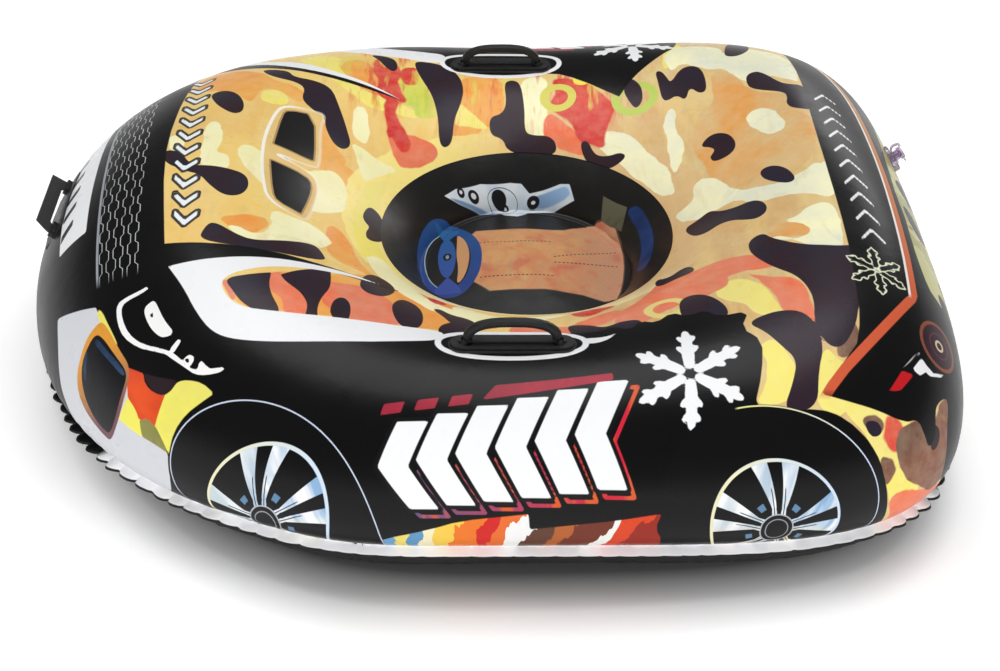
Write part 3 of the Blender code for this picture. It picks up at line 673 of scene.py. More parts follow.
YELLOW = [
    [(6.1, 28.9), (9.2, 29.2), (8.9, 24.9), (9.1, 21.4), (9.3, 19.1), (7.8, 18.9), (6.2, 19.8),
     (6.4, 24.4)],
    [(-13.9, 30), (-10.8, 30.6), (-8, 30.3), (-8.7, 27.6), (-11.6, 27.2), (-13.6, 25.7)],
    [(-29, 16), (-28.5, 17.8), (-26.8, 18.6), (-25.5, 17.1), (-25.1, 15.4), (-26.6, 14.4), (-27.7, 14.9),
     (-28.3, 14.4)],
    [(-21, 24.6), (-17.1, 23), (-13.4, 22.1), (-10.5, 21.4), (-8.9, 20.9), (-6.3, 20.8), (-8.5, 19.3),
     (-11.3, 19.4), (-14.6, 19.1), (-17, 20.7)],
    [(-25.2, 29.9), (-22, 32.5), (-19, 31.4), (-19.3, 27.2), (-17.2, 23.9), (-15.2, 22.1), (-17.1, 22.3),
     (-20.1, 24.9), (-22.4, 26.4)],
    [(-12.8, 5.9), (-11.2, 7.6), (-10, 7.2), (-10.5, 4.8), (-9.7, 2.9), (-11.4, 2), (-12.3, 0.2),
     (-12.1, -1.1), (-11.3, -1.5), (-12, -3.7), (-11.4, -4.4), (-9.8, -3.2), (-9.7, -6.7), (-8.4, -12.1),
     (-11.3, -13.9), (-12.7, -10.8), (-13.7, -6.8), (-13.9, -1.3), (-13.5, 2.8)],
    [(-2.9, 24.1), (1.3, 20.6), (1.1, 19.8), (-1.8, 19.9), (-4, 20.2), (-3.7, 22.1)],
    [(25.6, -21.9), (28.1, -21), (30.1, -22.7), (31.2, -24.8), (31.8, -27.5), (32.2, -29.1), (31, -29.7),
     (30.1, -29), (28.9, -28.1), (28.6, -26.8), (26.6, -25.7), (25.6, -23.9)],
    [(25, 35.9), (28.6, 35.2), (27, 30.4), (25.6, 27.4), (24.6, 27.8), (25.4, 30.9)],
    [(28.5, -34.2), (30, -32.9), (31.2, -33.2), (31.7, -35.3), (32.7, -36.7), (32.9, -38.9), (32, -40.6),
     (28.5, -40.9), (28.6, -39.4), (29.4, -37.6), (29.5, -35.8)],
    [(35.2, -35.7), (36.2, -34), (37.1, -35.1), (38.6, -36.3), (35.6, -39.3), (38.4, -39.5), (38.8, -40.4),
     (36.9, -41.8), (35.4, -40.7), (34.6, -38.8), (35.2, -37.1)],
    [(37.2, -39.1), (40.7, -39.4), (45.7, -39.8), (47.9, -42.1), (50.1, -45.8), (57.7, -51.2),
     (54.2, -53.5), (45.5, -47.9), (42.7, -45), (40.6, -43), (38.6, -41.7)],
    [(13.1, 27.7), (14.3, 27.7), (14.1, 26.5), (13.3, 26.3)],
]
CREAM = [
    [(15.7, 18.2), (17.8, 18), (20, 15.6), (21.4, 12.5), (22.3, 9.9), (22.4, 7), (21.2, 4.8), (19.7, 6.9),
     (18.8, 9.4), (17.6, 12.3), (15.9, 14), (15.2, 16.3)],
    [(25.6, 5.3), (26.9, 4), (27.7, 1.1), (30.3, -1.5), (34.3, -3.9), (37.6, -5.3), (39.8, -4.6),
     (41.2, -1.2), (41.1, -4.7), (40.9, -10), (38.1, -8.1), (34.9, -6.6), (32.5, -5.8), (29.5, -3),
     (27.4, -0.9), (25.3, 0.1), (24.4, 2.4)],
    [(-30.2, 3.7), (-27, 3.1), (-24.5, 0.1), (-22.2, -2), (-18.8, -0.6), (-15.2, 1.1), (-15, -1.6),
     (-19, -5.2), (-21.8, -6.6), (-24.5, -5.8), (-27.1, -3.5), (-29.5, -0.8)],
    [(-34.9, 6.6), (-33.5, 8.1), (-32.5, 6), (-32.1, 2.7), (-32.6, 0.5), (-31.1, 0.2), (-30.2, -1.4),
     (-30.9, -3.3), (-32.2, -3.2), (-33.9, -3.2), (-34.4, 0.3), (-34.2, 2.7)],
    [(-24.6, -9.2), (-23.1, -9.3), (-20.7, -8.7), (-18.5, -8.9), (-17.2, -9.9), (-17.1, -12),
     (-19.3, -14.5), (-21.8, -15.4), (-25.2, -16.8), (-26.7, -16.9), (-27.7, -16.4), (-28.9, -15),
     (-29.3, -14.4), (-28, -14.5), (-26.5, -15.2), (-25.4, -14.2), (-24.6, -12.1), (-25, -10.9)],
    [(-20.5, 2.8), (-17.8, 5.1), (-15.9, 4.4), (-14.7, 0.9), (-16.2, 0.4), (-17.9, -0.1), (-18.6, -2.5),
     (-19.6, -3.5), (-19.5, -0.7), (-20.7, 0.6), (-22.9, 0.9), (-20.9, 2.8)],
    [(-16.7, 18.1), (-15.4, 19), (-14.7, 18), (-13.9, 15), (-14, 12.5), (-15.2, 12.5), (-16.3, 14.2)],
    [(-16.1, 11.9), (-14, 11.5), (-11.8, 10.6), (-8.8, 10.4), (-11, 8.8), (-12.9, 6.2), (-13.8, 6.5),
     (-14.8, 9.1)],
    [(-9.7, -6.7), (-8.4, -12.1), (-6.8, -18.7), (-4.3, -22), (-1.2, -23.2), (1.8, -22.5), (1.5, -25.8),
     (-1.6, -25.8), (-4.7, -24.8), (-7.4, -22.8), (-9.6, -19.5), (-11.6, -16.9), (-12.5, -13),
     (-12.5, -9.4)],
    [(-38.8, 4.3), (-37.4, 4.5), (-36.3, 1.4), (-37.1, 0.1), (-38.4, 0.6)],
    [(5.3, 29.3), (9.2, 29.4), (8.8, 24.2), (9, 20.8), (8.3, 18.7), (6.3, 19), (5.5, 21.1), (5.5, 24.5)],
    [(15.9, 17.5), (17.6, 17.1), (18.9, 15.4), (20.7, 13.1), (22.1, 9.2), (22.4, 4.9), (21.1, 5.1),
     (20.7, 8), (19.4, 11.4), (17.4, 13.3), (16.9, 15.2), (15.5, 16.3)],
    [(25.8, 32.7), (27.9, 34.7), (33.3, 33.4), (33.2, 29.3), (34.9, 29.6), (36.3, 33.1), (41.9, 30.9),
     (42.2, 24.4), (42.1, 19.5), (40, 20.8), (38.5, 22), (36.9, 21), (35.2, 20.9), (34, 22.8), (32.5, 25.2),
     (30.9, 25.7), (29.2, 27.2), (27.2, 28.3), (25.9, 26.3), (25.2, 28.5)],
    [(24.2, 18.6), (25.1, 19.1), (25.4, 18.1), (24.9, 14.7), (25.7, 13.1), (24.8, 10.6), (23.2, 7.9),
     (22.9, 9.1), (23.4, 12.8), (23.5, 16.2)],
    [(33.8, 12.5), (35.2, 13.5), (37.1, 12.8), (38.1, 9.8), (37.9, 7.2), (36.2, 6.6), (34.8, 8),
     (33.7, 10.2)],
    [(40.1, -2.1), (40.5, -3.2), (40.3, -6.4), (37.8, -7.3), (35.4, -6.7), (32.5, -5), (29.6, -2.8),
     (27.8, -2.3), (26.1, -1.8), (23.7, -1.7), (21.6, 0.3), (21, 1.5), (22.6, 2), (24.3, 2.3), (24.4, 4.1),
     (25.5, 4.9), (27.1, 4.3), (28.1, 2.7), (29.1, 0.3), (31.3, -2.1), (34.8, -3.9), (38, -3.7)],
    [(34.7, -12.1), (36.6, -12), (37.3, -11.1), (39.2, -10.2), (40.6, -10.6), (41, -13.4), (40.7, -18.7),
     (39.5, -18.9), (37.4, -18.2), (34.9, -16.5), (33, -14.9), (33.7, -15), (35.5, -16), (36.9, -16),
     (37.6, -14.8), (36.6, -13.4)],
    [(-3.7, -24.2), (-0.9, -24.4), (2.6, -26.3), (6.2, -25.2), (9.6, -21.9), (12.2, -18.9), (14.8, -19.4),
     (12.2, -22.4), (9.7, -21.9), (6.4, -21.9), (2.7, -23.4), (-0.8, -21.9), (-3.1, -19.3)],
]
SALMON = [
    [(46.8, -48.8), (49.6, -47.4), (54.8, -47.1), (56.5, -45.2), (61.3, -48.5), (59.5, -50.2), (56.6, -52),
     (50.3, -51.4)],
    [(-24.8, -22.2), (-22.8, -21.5), (-21.8, -23.4), (-20.2, -24.6), (-19.2, -26.5), (-19.4, -28.9),
     (-21.5, -29), (-22.5, -27.9), (-22.2, -26.3), (-23.2, -25.1), (-24.1, -24.2)],
    [(14, -26.6), (15.6, -22.3), (17.9, -19.6), (19.8, -13.4), (22.2, -15.3), (24.2, -19.2), (26.6, -18.7),
     (27.7, -21.7), (25.7, -23.3), (23.5, -23.8), (21.5, -25), (18.2, -26.9), (16.8, -28.7), (15, -29.2)],
    [(-18.3, -22.1), (-15.5, -21.3), (-12.2, -21.6), (-9.4, -24.7), (-9.4, -29.2), (-13.4, -29.2),
     (-16.1, -28.5), (-18, -25.7)],
    [(-11.9, 16.1), (-9, 16.6), (-5.3, 16.3), (-4.6, 15), (-5.6, 13), (-8.9, 10.6), (-10.1, 12),
     (-11.3, 13.9)],
    [(9, 23.1), (12, 20.1), (13.5, 16.7), (15, 14.7), (12.2, 16), (10.3, 17), (10, 18), (8.3, 18.7)],
    [(20, -15), (23.5, -15.1), (26.9, -15), (30, -16.3), (32, -18.9), (33.5, -20.7), (30.8, -20.8),
     (28.7, -19.9), (25.9, -20.7), (25.5, -22.1), (22.5, -23.3), (19.4, -24.7), (17.2, -24.9), (17, -20.7)],
    [(28.5, -19.7), (31.5, -22.6), (34.3, -23.3), (35.1, -25.5), (35.7, -28.2), (35.9, -34), (35.1, -32.7),
     (34.5, -30.6), (33.7, -29.2), (32.2, -29.1), (31.9, -27.1), (31.2, -24.4), (30.2, -22.4)],
    [(-24.6, -22.4), (-23, -22), (-22.4, -23.8), (-21, -24.9), (-19.9, -27), (-19.7, -28.8), (-21.9, -28.9),
     (-22.2, -26.9), (-22.3, -25.7), (-23.7, -24.9), (-24.4, -24.1)],
    [(-29.4, -23.5), (-27.7, -24.3), (-27.5, -27.1), (-28.2, -25.8)],
    [(47, -49.4), (50.1, -48.8), (57.7, -51.2), (55.8, -52.8), (54.2, -53.5)],
    [(48.7, -47.6), (53.2, -46.6), (57, -44.9), (63.1, -46.3), (61.4, -48.1), (58.4, -50.3), (50.9, -48.9)],
    [(2.6, -26.8), (6.2, -26.2), (8.5, -27.6), (11.8, -24.9), (15.1, -22), (15.4, -25.2), (11.6, -28.1),
     (7.6, -30.2), (2.5, -28.7)],
]
RED = [
    [(-13.4, 28.9), (-12.3, 30.4), (-11.3, 29.5), (-11.4, 23.8), (-10.5, 22.5), (-11.2, 19.9),
     (-10.6, 16.1), (-11.5, 14.2), (-12.4, 18.1), (-12.7, 23.4)],
    [(-10.7, 29.7), (-8.6, 30.5), (-8.3, 26.4), (-10, 25.4), (-11.1, 27)],
    [(-14.5, 31.9), (-11.9, 32), (-10.8, 28.6), (-11.2, 24.3), (-9.7, 22.3), (-10.5, 21.6), (-12.9, 21.5),
     (-14.3, 22.5), (-13.5, 25.2), (-15.1, 28.4)],
    [(-12.7, 21.6), (-11.5, 21.4), (-10.7, 18.4), (-9, 16.6), (-8.2, 14.1), (-9.5, 13), (-10.8, 14.8),
     (-11.9, 16.1), (-12.6, 18.9)],
    [(9.9, 28.9), (14.2, 27.5), (17.2, 24.1), (17.7, 20.8), (16.2, 17.7), (15.9, 15.6), (14.4, 16.6),
     (13.2, 17.4), (12, 20.4), (9.3, 23), (10.3, 26)],
    [(-6.6, -18.3), (-4.4, -18.5), (-4, -20.5), (-5.6, -21.2)],
    [(9.7, -20.9), (12.2, -19.6), (14.8, -18.6), (14.9, -19.4), (11.9, -24.2), (9.9, -23.3)],
    [(42.9, -40.5), (45.2, -40.5), (45.8, -41.8), (45.8, -43.8), (44.8, -44.4), (43.6, -43.7),
     (42.9, -42.8)],
]
LATE_YELLOW = [
    [(-36, -36.4, 0), (-34.9, -36), (-34.1, -35.5), (-32.8, -35.6), (-31.1, -36.2), (-29.8, -37.5, 0),
     (-31.4, -38.1), (-33.7, -38.9), (-36, -40.2), (-38.1, -42.1, 0), (-38.5, -40.2), (-38.7, -38.9, 0),
     (-37.2, -37.7)],
    [(-41.5, -35.2, 0), (-40.7, -36.7), (-40.2, -38.4), (-41.3, -39.5, 0), (-42.8, -38.3),
     (-44.3, -36.7, 0), (-43.1, -36.1)],
    [(-44.8, -24.1, 0), (-44, -24.7), (-43.2, -26.5), (-42.2, -28.6), (-41.8, -29.8, 0), (-42.8, -29.1),
     (-43.9, -27), (-44.7, -25.2)],
]
LATE_RED = [
    [(-40.8, -32.3, 0), (-38.6, -33.6, 0), (-38.6, -34.7), (-37.6, -35.9), (-36, -36.4, 0), (-37.1, -37.6),
     (-38.6, -39.1, 0), (-39.4, -38), (-40.8, -38), (-40.8, -36.8), (-41.6, -35.3, 0)],
]
LATE_GREEN = [
    [(-40.7, -37.9, 0), (-39.4, -38), (-38.5, -39), (-38.2, -40.5), (-38.1, -42.1, 0), (-39.7, -40.7),
     (-41.3, -39.5, 0)],
]
LATE_DARK = [
    [(-38.7, -33.4), (-37.4, -34.2), (-34.7, -35.2), (-34, -35.4), (-35.5, -36.5), (-37, -36.3),
     (-38.1, -35.2)],
]
GREEN = [
    [(-10.8, 28.6), (-8.8, 29.1), (-7.5, 25.4), (-6, 23.1), (-5.6, 20.7), (-6.3, 20), (-8.6, 19.5),
     (-9, 21.6), (-10.5, 21.6), (-10, 23.9), (-11.2, 25.1)],
    [(-13, 28.9), (-11.5, 28.6), (-11.2, 25.9), (-12.4, 24.8)],
]
SMOKE = [
    [(44.9, -41.5), (47.3, -40.2), (50, -40), (51.6, -36.2), (56.1, -34.3), (57.7, -37.7), (57.6, -41.8),
     (56.1, -45.1), (54.7, -47), (50.2, -47), (46.3, -45.4), (44.8, -43.4)],
    [(38.1, -30.8), (39.1, -30.2), (39.9, -30.9), (39.9, -33.4), (38.2, -35.3), (37.1, -35.1),
     (37.5, -33.2)],
    [(39.9, -41.4), (41.7, -41), (43, -41.5), (43, -42.5), (41.9, -42.9), (40.5, -42.2)],
    [(45.9, -40.9), (48.7, -40.4), (51.9, -41.5), (55.1, -44.2), (55.4, -46.6), (50, -46.5), (47, -45.6),
     (45.8, -43.8), (45.9, -42.2)],
    [(43.2, -44.9), (44.7, -44.6), (46.1, -45.6), (46.1, -47.1), (45.5, -47.9), (44.1, -46.5)],
]
DARK = [
    [(-35.2, 15.9), (-33.8, 17.3), (-31.8, 16.6), (-30.5, 13.8), (-30.4, 11.2), (-31.5, 10.3),
     (-33.1, 11.6), (-34.3, 13.4)],
    [(-29.4, 25), (-25.8, 24.7), (-25, 22.7), (-22.1, 22.5), (-19.8, 21.2), (-18.6, 17.7), (-16.9, 13.5),
     (-15.9, 11.3), (-16.9, 9.7), (-18.4, 10.2), (-19.8, 12.7), (-20, 14.4), (-21.9, 15.4), (-23.5, 17.1),
     (-23.2, 20), (-24.6, 21.3), (-27.2, 22), (-28.8, 23.3)],
    [(-15.6, 33.4), (-11.7, 32.4), (-11.3, 29), (-12.1, 28.2), (-13.2, 29.6), (-13.8, 31)],
    [(-9, 32.2), (-5.3, 31.6), (-3.1, 29.6), (-2.2, 26.5), (-2.6, 23.5), (-3.4, 20.6), (-3.2, 17),
     (-4.2, 15.9), (-5, 17), (-5.5, 20.6), (-6.5, 24.4), (-8, 27.3), (-9, 30.2)],
    [(3.2, 28), (4.3, 28.7), (5.5, 28), (6, 23.5), (6, 20.2), (6.6, 19.3), (9.6, 19), (10.3, 16.4),
     (7.9, 16), (3.9, 17), (3.3, 18.8), (1.5, 19.2), (1.3, 22), (3, 22.6), (3.6, 24.4)],
    [(-38.9, 1), (-36.7, 0), (-35, -3.1), (-33.2, -2.8), (-30.9, -2.8), (-28.4, -3.2), (-27.8, -5.6),
     (-28.6, -8), (-30.5, -8.7), (-32.4, -7), (-33.8, -4.9), (-35.4, -4.4), (-38.6, -2.2)],
    [(-32.7, -18), (-31.9, -14.4), (-30.9, -14), (-28.4, -15.8), (-26.3, -16.5), (-23, -15.2),
     (-19.6, -13.6), (-18.6, -14.4), (-17.6, -18)],
    [(-14, -20), (-13.4, -17.6), (-12.1, -16.1), (-10.3, -17.4), (-9.8, -20), (-11, -22.6), (-12.9, -22.8),
     (-14, -21.6)],
    [(-12.6, 0.2), (-11.8, 2.6), (-10.2, 2.4), (-9, 1), (-9, -2.3), (-11.8, -4.7), (-12.1, -3.1),
     (-11.3, -1.2), (-12.2, -0.9)],
    [(-26.2, 4.7), (-24.6, 4.2), (-23.1, 2.4), (-26.2, 2.5)],
    [(23.7, 27.2), (24.5, 27.2), (25.1, 25.6), (25.5, 24), (27, 26.9), (28.7, 27.6), (30, 26), (30, 20.9),
     (28.9, 20.4), (27.8, 22.5), (27, 19.7), (26, 21.4), (24.6, 20.6), (24, 21.3), (23.9, 24.5)],
    [(27, 10.6), (29, 12), (31, 10.7), (31.6, 8), (30.7, 6.4), (28.2, 6.4), (27.7, 7.8), (28.8, 8.6),
     (28.3, 9.6)],
    [(33.2, 30), (35, 37), (37.8, 36.4), (37.2, 32), (35.5, 29.3), (33.9, 28.9)],
    [(35, 20), (35.2, 22.7), (36.8, 23.7), (38, 22), (38.9, 20), (39.8, 19), (42.6, 18.8), (42.6, 10.8),
     (39.6, 11.5), (38.9, 13), (39.4, 15), (39.2, 16.5), (37, 17.6), (35.5, 18.7)],
    [(33.2, 0.4), (34.8, 0.4), (36.5, -1.5), (37.3, -4.4), (36.3, -4.9), (34.4, -3), (33.3, -1.3)],
    [(21.7, -1.5), (24, -1.7), (25.8, -1.4), (27.2, -2.9), (29.2, -4), (31.7, -4.6), (33, -6.5),
     (33.1, -8.5), (31.8, -9.2), (30.2, -8), (28.8, -6.5), (27, -5.5), (25, -5.6), (23.2, -4.4)],
    [(19, -11.2), (20.7, -13.8), (22.3, -11.7), (23.5, -13), (23.9, -15.5), (21.5, -15.6), (19.4, -16.7)],
    [(12.9, 17.4), (14, 17.4), (14.5, 15), (16, 14.3), (17.7, 14.4), (18.3, 13.4), (16, 12.3), (14.4, 13),
     (13.3, 14.4)],
    [(20.2, 27), (21.6, 25), (21.7, 22), (20.6, 20.4), (19.8, 22), (19.1, 24.7)],
    [(30.3, -13.2), (32, -12.7), (33, -15), (36, -17.8), (40, -18.6), (42, -18.2), (42, -26), (40.7, -27.4),
     (39.8, -31), (38, -34), (36.3, -33.9), (35.2, -31), (35.8, -27), (34.8, -23.3), (32.3, -20.8),
     (30.8, -18), (30.1, -15.5)],
    [(21.3, -27), (21.5, -23.8), (23, -22.7), (24.9, -23.8), (26.6, -27.3), (26, -29.4), (21.8, -29.4)],
    [(28, -30.2), (31, -28.7), (33.7, -28.7), (35.3, -30.4), (35.9, -34), (35, -37), (34.9, -41),
     (31, -41.6), (32.3, -38), (32.8, -35.6), (31.3, -33.8), (29.8, -31.7)],
    [(-10.6, -25), (-9.7, -22.5), (-8.5, -22.2), (-7.1, -24), (-6.8, -27), (-7.4, -29), (-9.5, -28.9)],
    [(-17.1, -27.1), (-16.8, -25.4), (-15.9, -24.5), (-15.1, -25.2), (-14.8, -26.8), (-15, -29),
     (-16.3, -29.3), (-17, -28)],
    [(-22.9, -22.2, 0), (-20.8, -20.6), (-17.4, -19, 0), (-17.2, -23.1), (-18.1, -25.2), (-18.5, -27.2),
     (-18.3, -28.8, 0), (-19.7, -28.8, 0), (-19.5, -26.8), (-20.3, -25.1), (-21.3, -24.1), (-22.3, -23.2)],
    [(-28.8, -23.9), (-28.3, -23.3), (-27.4, -23), (-25.7, -22.5), (-23.9, -22, 0), (-24, -24.2),
     (-23.4, -26), (-22.5, -27.9), (-22.7, -29.1), (-25.2, -28.3), (-26.9, -26.9), (-27.9, -25.3)],
    [(-5.9, -23.4), (-5, -22.8), (-3.8, -24.4), (-1.8, -25), (-0.6, -27), (-3.6, -27.4), (-4.8, -25)],
    [(-5.4, -29.6), (-5, -27.5), (-3.5, -26.4), (-1, -26.2), (0.4, -27.2), (-1, -28.2), (-2.4, -30)],
    [(8.6, -26.8), (11.2, -26.8), (13, -28.2), (15, -26.8), (17.4, -27), (16.6, -31), (10, -31)],
    [(52, 0.6), (54, 3.4), (56.4, 4), (58, 1), (56, -2.4), (53.4, -2)],
    [(51.4, -4.6), (54.4, -5.2), (56.6, -8.6), (55, -11), (52.4, -10)],
    [(54, 9.6), (56.6, 10.4), (59, 14), (61, 12), (59.4, 7), (56, 6.6)],
    [(53, -20.4), (56, -20), (59.6, -24), (58, -28.6), (54.6, -26)],
    [(40.2, -41.8), (42, -41.4), (43, -42.6), (41.6, -43.4)],
    [(49.6, -40), (51.6, -40), (52, -42.2), (50.6, -43)],
    [(57, -34), (60.6, -31), (63, -36), (60, -39.6)],
]
BLACK = [
    [(-90, -75, 0), (-90, 75, 0), (-27, 75, 0), (-27, 37, 0), (-31, 32), (-34, 30.5), (-38.2, 26.8, 0),
     (-38.8, 8), (-38.5, -2), (-36.4, -17.6, 0), (-30, -17.8), (-20, -18.1), (-9.6, -19.4, 0),
     (-9.6, -19.8), (-14, -19.6), (-20, -19.6), (-26, -20), (-33, -22), (-32, -28), (-29, -31), (-20, -32),
     (-8, -30.6), (-5, -29.6), (-4.6, -29), (10, -29), (12.6, -28.8), (14, -28), (15.6, -29.2), (17, -27.4),
     (18.6, -28.2), (20.4, -26.4), (22, -27.8), (24, -27), (25.2, -28.6), (28.6, -28.2), (27.4, -31),
     (29.4, -33), (29, -37), (28, -41.2), (31, -41.4), (35, -40.9), (38, -41.6), (42, -44), (46, -48),
     (50.4, -52.4), (54, -54), (56, -75)],
    [(-36, 26.6), (-38.2, 26.8, 0), (-34, 30.5, 0), (-32, 28.5), (-29, 27.4), (-25, 26), (-20, 24.9),
     (-15, 23.7), (-10.2, 22.1, 0), (-15, 22.9), (-20, 23.9), (-26, 25.2), (-32, 26)],
    [(-27, 75, 0), (-27, 40), (-20, 38.4), (-13, 36.4), (-5, 34.8), (-4.7, 31), (10, 30), (13.5, 28),
     (18.6, 23.4, 0), (20.4, 26.3), (24.5, 31), (27.2, 34), (28, 39), (28, 41.2), (31, 41.4), (35, 40.9),
     (38, 41.6), (42, 44), (46, 48), (50.4, 52.4), (54, 54), (56, 75)],
    [(42.2, 38), (42.2, 20), (41.4, 10), (41, 0), (41.1, -18.4), (40.7, -24.9), (40.4, -30),
     (39.6, -33.3, 0), (35.3, -39.4, 0), (38.5, -40), (41.5, -40.4), (45.5, -41.1), (47.4, -40.3),
     (48.5, -41.2), (50.3, -42.8), (50.9, -41.3), (50.1, -38.6), (50.5, -37.5), (51.9, -36.4),
     (52.5, -36.8), (53, -39.7), (55.6, -43.6), (57, -44.9), (62, -50, 0), (70, -45, 0), (70, -24, 0),
     (54, -23.1), (52.7, -22.4), (51.3, -21.5), (50.7, -16.6), (50.9, -11.9), (51.2, -8.9), (51.1, -5.8),
     (51, -2.3), (52, 5.8), (53.5, 16.2), (54, 24), (52, 32), (50, 42), (46, 41), (42.4, 40)],
]
BLOCKS = [
    [(-16, -55.8), (-14.4, -54.8), (-8.2, -53.6), (-4.3, -52.5), (1.6, -52, 0), (3.8, -51.8, 0),
     (3.8, -53.9, 0), (9.2, -53.4), (13.9, -53), (19.3, -52.1, 0), (19, -54), (20.5, -56), (22, -62),
     (-10, -64), (-19, -62)],
]
WHITE = [
    [(-35.6, -21.2, 0), (-30, -20.2), (-25, -19.4), (-20, -18.8), (-15, -18.7), (-11.4, -19.2, 0),
     (-15, -19.4), (-20, -20), (-25, -21.1), (-29.3, -23.2), (-29, -25.5), (-27, -27.7), (-23, -28.3),
     (-17, -28.5), (-10, -28.6), (-4.4, -28.9), (-5, -30.7), (-8, -31.3), (-15, -32.2), (-22, -32.5),
     (-27, -32), (-29.8, -30.8), (-31.8, -28), (-33.5, -24.5)],
    [(-34, 30.5), (-31, 31.4), (-29.4, 29.2), (-25.5, 28.5), (-19.6, 25.9), (-15.5, 24.5), (-10.6, 22.2, 0),
     (-15, 23.7), (-20, 24.9), (-25, 26), (-29, 27.4), (-32, 28.5)],
    [(-27.4, 38), (-21, 37.4), (-20.2, 35), (-15, 33.2), (-12, 32.8), (-5, 31.6), (-4.7, 34.8), (-8, 35.4),
     (-13, 36.6), (-16, 39), (-20, 41), (-26, 41.6)],
    [(10.4, -30.2), (13, -30.3), (14.5, -29.3), (12.8, -31.2), (10.4, -31.4)],
]
BUMPER = [
    [(-52.3, -21.5, 0), (-45, -23.8, 0), (-42.2, -30), (-41, -33), (-38.3, -42.1, 0), (-41.5, -45.6),
     (-47, -46), (-54, -41), (-57, -36), (-57, -30), (-53.3, -25.5)],
]
STADIA = [
    [(-5.6, -28.3), (11.1, -28.3), (11.1, -34), (-5.6, -34)],
    [(-5.6, 29), (11.3, 29), (11.3, 35.6), (-5.6, 35.6)],
]
WINDOWS = [
    [(-25.4, 12.6), (-24.8, 13.8), (-21.5, 14.3), (-20.3, 5.4), (-20.8, 4.9), (-25.8, 5.4, 0)],
    [(-25.8, 1.7, 0), (-21, 1.3), (-20.1, 0.2), (-20.3, -3), (-21.2, -7.5, 0), (-24.2, -6.8),
     (-24.9, -5.2)],
]
SCOOP = [
    [(-20, 15), (-21.4, 15.2), (-25.4, 14.8), (-26.4, 12.5), (-27.1, 7), (-27, 2), (-26.4, -3),
     (-25.4, -7.4), (-21, -8.7), (-20.2, -7.8), (-19.4, -3), (-19.2, 0.5), (-20.2, 2.4), (-26.6, 3.4),
     (-20.2, 3.6), (-19.4, 5), (-20.4, 12)],
]
HEADLAMP = [
    [(-41.9, -24.8), (-41.1, -24.3), (-38.6, -23.8), (-38.1, -23.5), (-37.6, -23.8), (-38.6, -24.3),
     (-40.4, -24.7), (-41.2, -25.1), (-41.1, -26.7), (-40.2, -28.8), (-38.5, -30.4), (-35.6, -31.7),
     (-34.4, -32.4), (-33.5, -33.3), (-32.3, -34.5), (-31.2, -34.8), (-29.4, -34.9), (-28.3, -34.9),
     (-28.6, -35.4), (-30.5, -35.5), (-31.9, -35.2), (-33, -34.3), (-34.5, -33.1), (-35.4, -32.3),
     (-37, -31.6), (-39, -30.7), (-41, -28.9), (-41.8, -26.9)],
    [(-38.2, -26.3), (-37.4, -25.7), (-36.9, -25.6), (-36.5, -26.3), (-35.6, -28.3), (-34.2, -30.2),
     (-35.5, -30.4), (-36.2, -30.1), (-37.2, -29), (-37.9, -27.6)],
    [(-35, -32), (-34.2, -31.3), (-33.8, -30.9), (-33.4, -31.2), (-33.9, -31.8), (-34.4, -32.4)],
    [(-33.3, -33.4), (-32.9, -33.1), (-32.4, -32.9), (-31.8, -33.4), (-32.1, -33.9), (-32.6, -34.3)],
    [(-31.5, -34.7), (-31.4, -34.1), (-31, -33.8), (-30.7, -34.3), (-30, -34.9), (-29.6, -35.3),
     (-30.5, -35.3)],
]
HEADLAMP_HOLES = [
    [(-37.5, -27.2), (-36.9, -27), (-37, -27.9)],
    [(-33.1, -33.4), (-32.8, -33.2), (-32.4, -33.5), (-32.6, -33.9), (-32.9, -33.7)],
]
FOG_RING = [
    [(-44.1, -25.8), (-43, -27.4), (-41.7, -30.1), (-40.4, -32.3), (-41.1, -34.2), (-44.2, -36.9),
     (-48.3, -38.2), (-49.4, -36.9), (-50.8, -34.1), (-51.1, -31.7), (-50.1, -29.8), (-48.5, -28.4),
     (-46.7, -26.8), (-45.2, -26.1)],
]
FOG_LENS = [
    [(-45.2, -26.9), (-44, -27.9), (-42.4, -30.5), (-41, -32.6), (-41.4, -33.8), (-44.7, -36.5),
     (-47.6, -37.5), (-48.8, -36.3), (-49.7, -34), (-49.6, -31.4), (-48.5, -29.2), (-47, -28)],
]
FOG_BLUE = [
    [(-45.8, -27.6), (-44.8, -27.7), (-43.9, -29.1), (-42.3, -31.1), (-41.2, -32.8), (-41.6, -33.1),
     (-42.9, -31.5), (-44.5, -29.4)],
    [(-47.5, -28.3), (-46.8, -28.1), (-47.6, -29.6), (-48.3, -31.1), (-48.7, -30.9), (-48.3, -29.5)],
]
PLATE = [
    [(-52.1, -12.6, 0), (-47.5, -11.6, 0), (-49.2, 15.2, 0), (-55, 14.8, 0)],
]
TAIL_TRIM = [
    [(47.4, -32.4), (47.6, -32.6), (45, -35.6), (44.7, -35.6)],
    [(46.4, -34.9), (47.7, -33.2), (48.5, -33.9), (49.5, -34.4), (51.7, -33.7), (50.8, -34.4), (48.9, -35),
     (48.3, -34.7), (47.4, -35.4), (46.7, -35.2)],
]
TAIL_BAR = [
    [(44.9, -35.5), (45.6, -35.6), (46.5, -35.6), (44.7, -37.8), (43.1, -38.3), (43.7, -37.4)],
]
STRIPE_EDGE = [
    [(44, 42), (45.5, 33), (48, 24), (49, 16), (49.1, 0), (48.4, -14), (47.4, -25, 0), (41.8, -31.8),
     (35.4, -38.9), (30, -50), (80, -50), (80, 42)],
]


def arrow(tip, middle, half, slope, thick):
    """A bold arrow head that points to the front."""
    return [(tip, middle), (tip + slope, middle + half), (tip + slope + thick, middle + half * 1.02),
            (tip + thick, middle), (tip + slope + thick, middle - half * 1.02), (tip + slope, middle - half)]


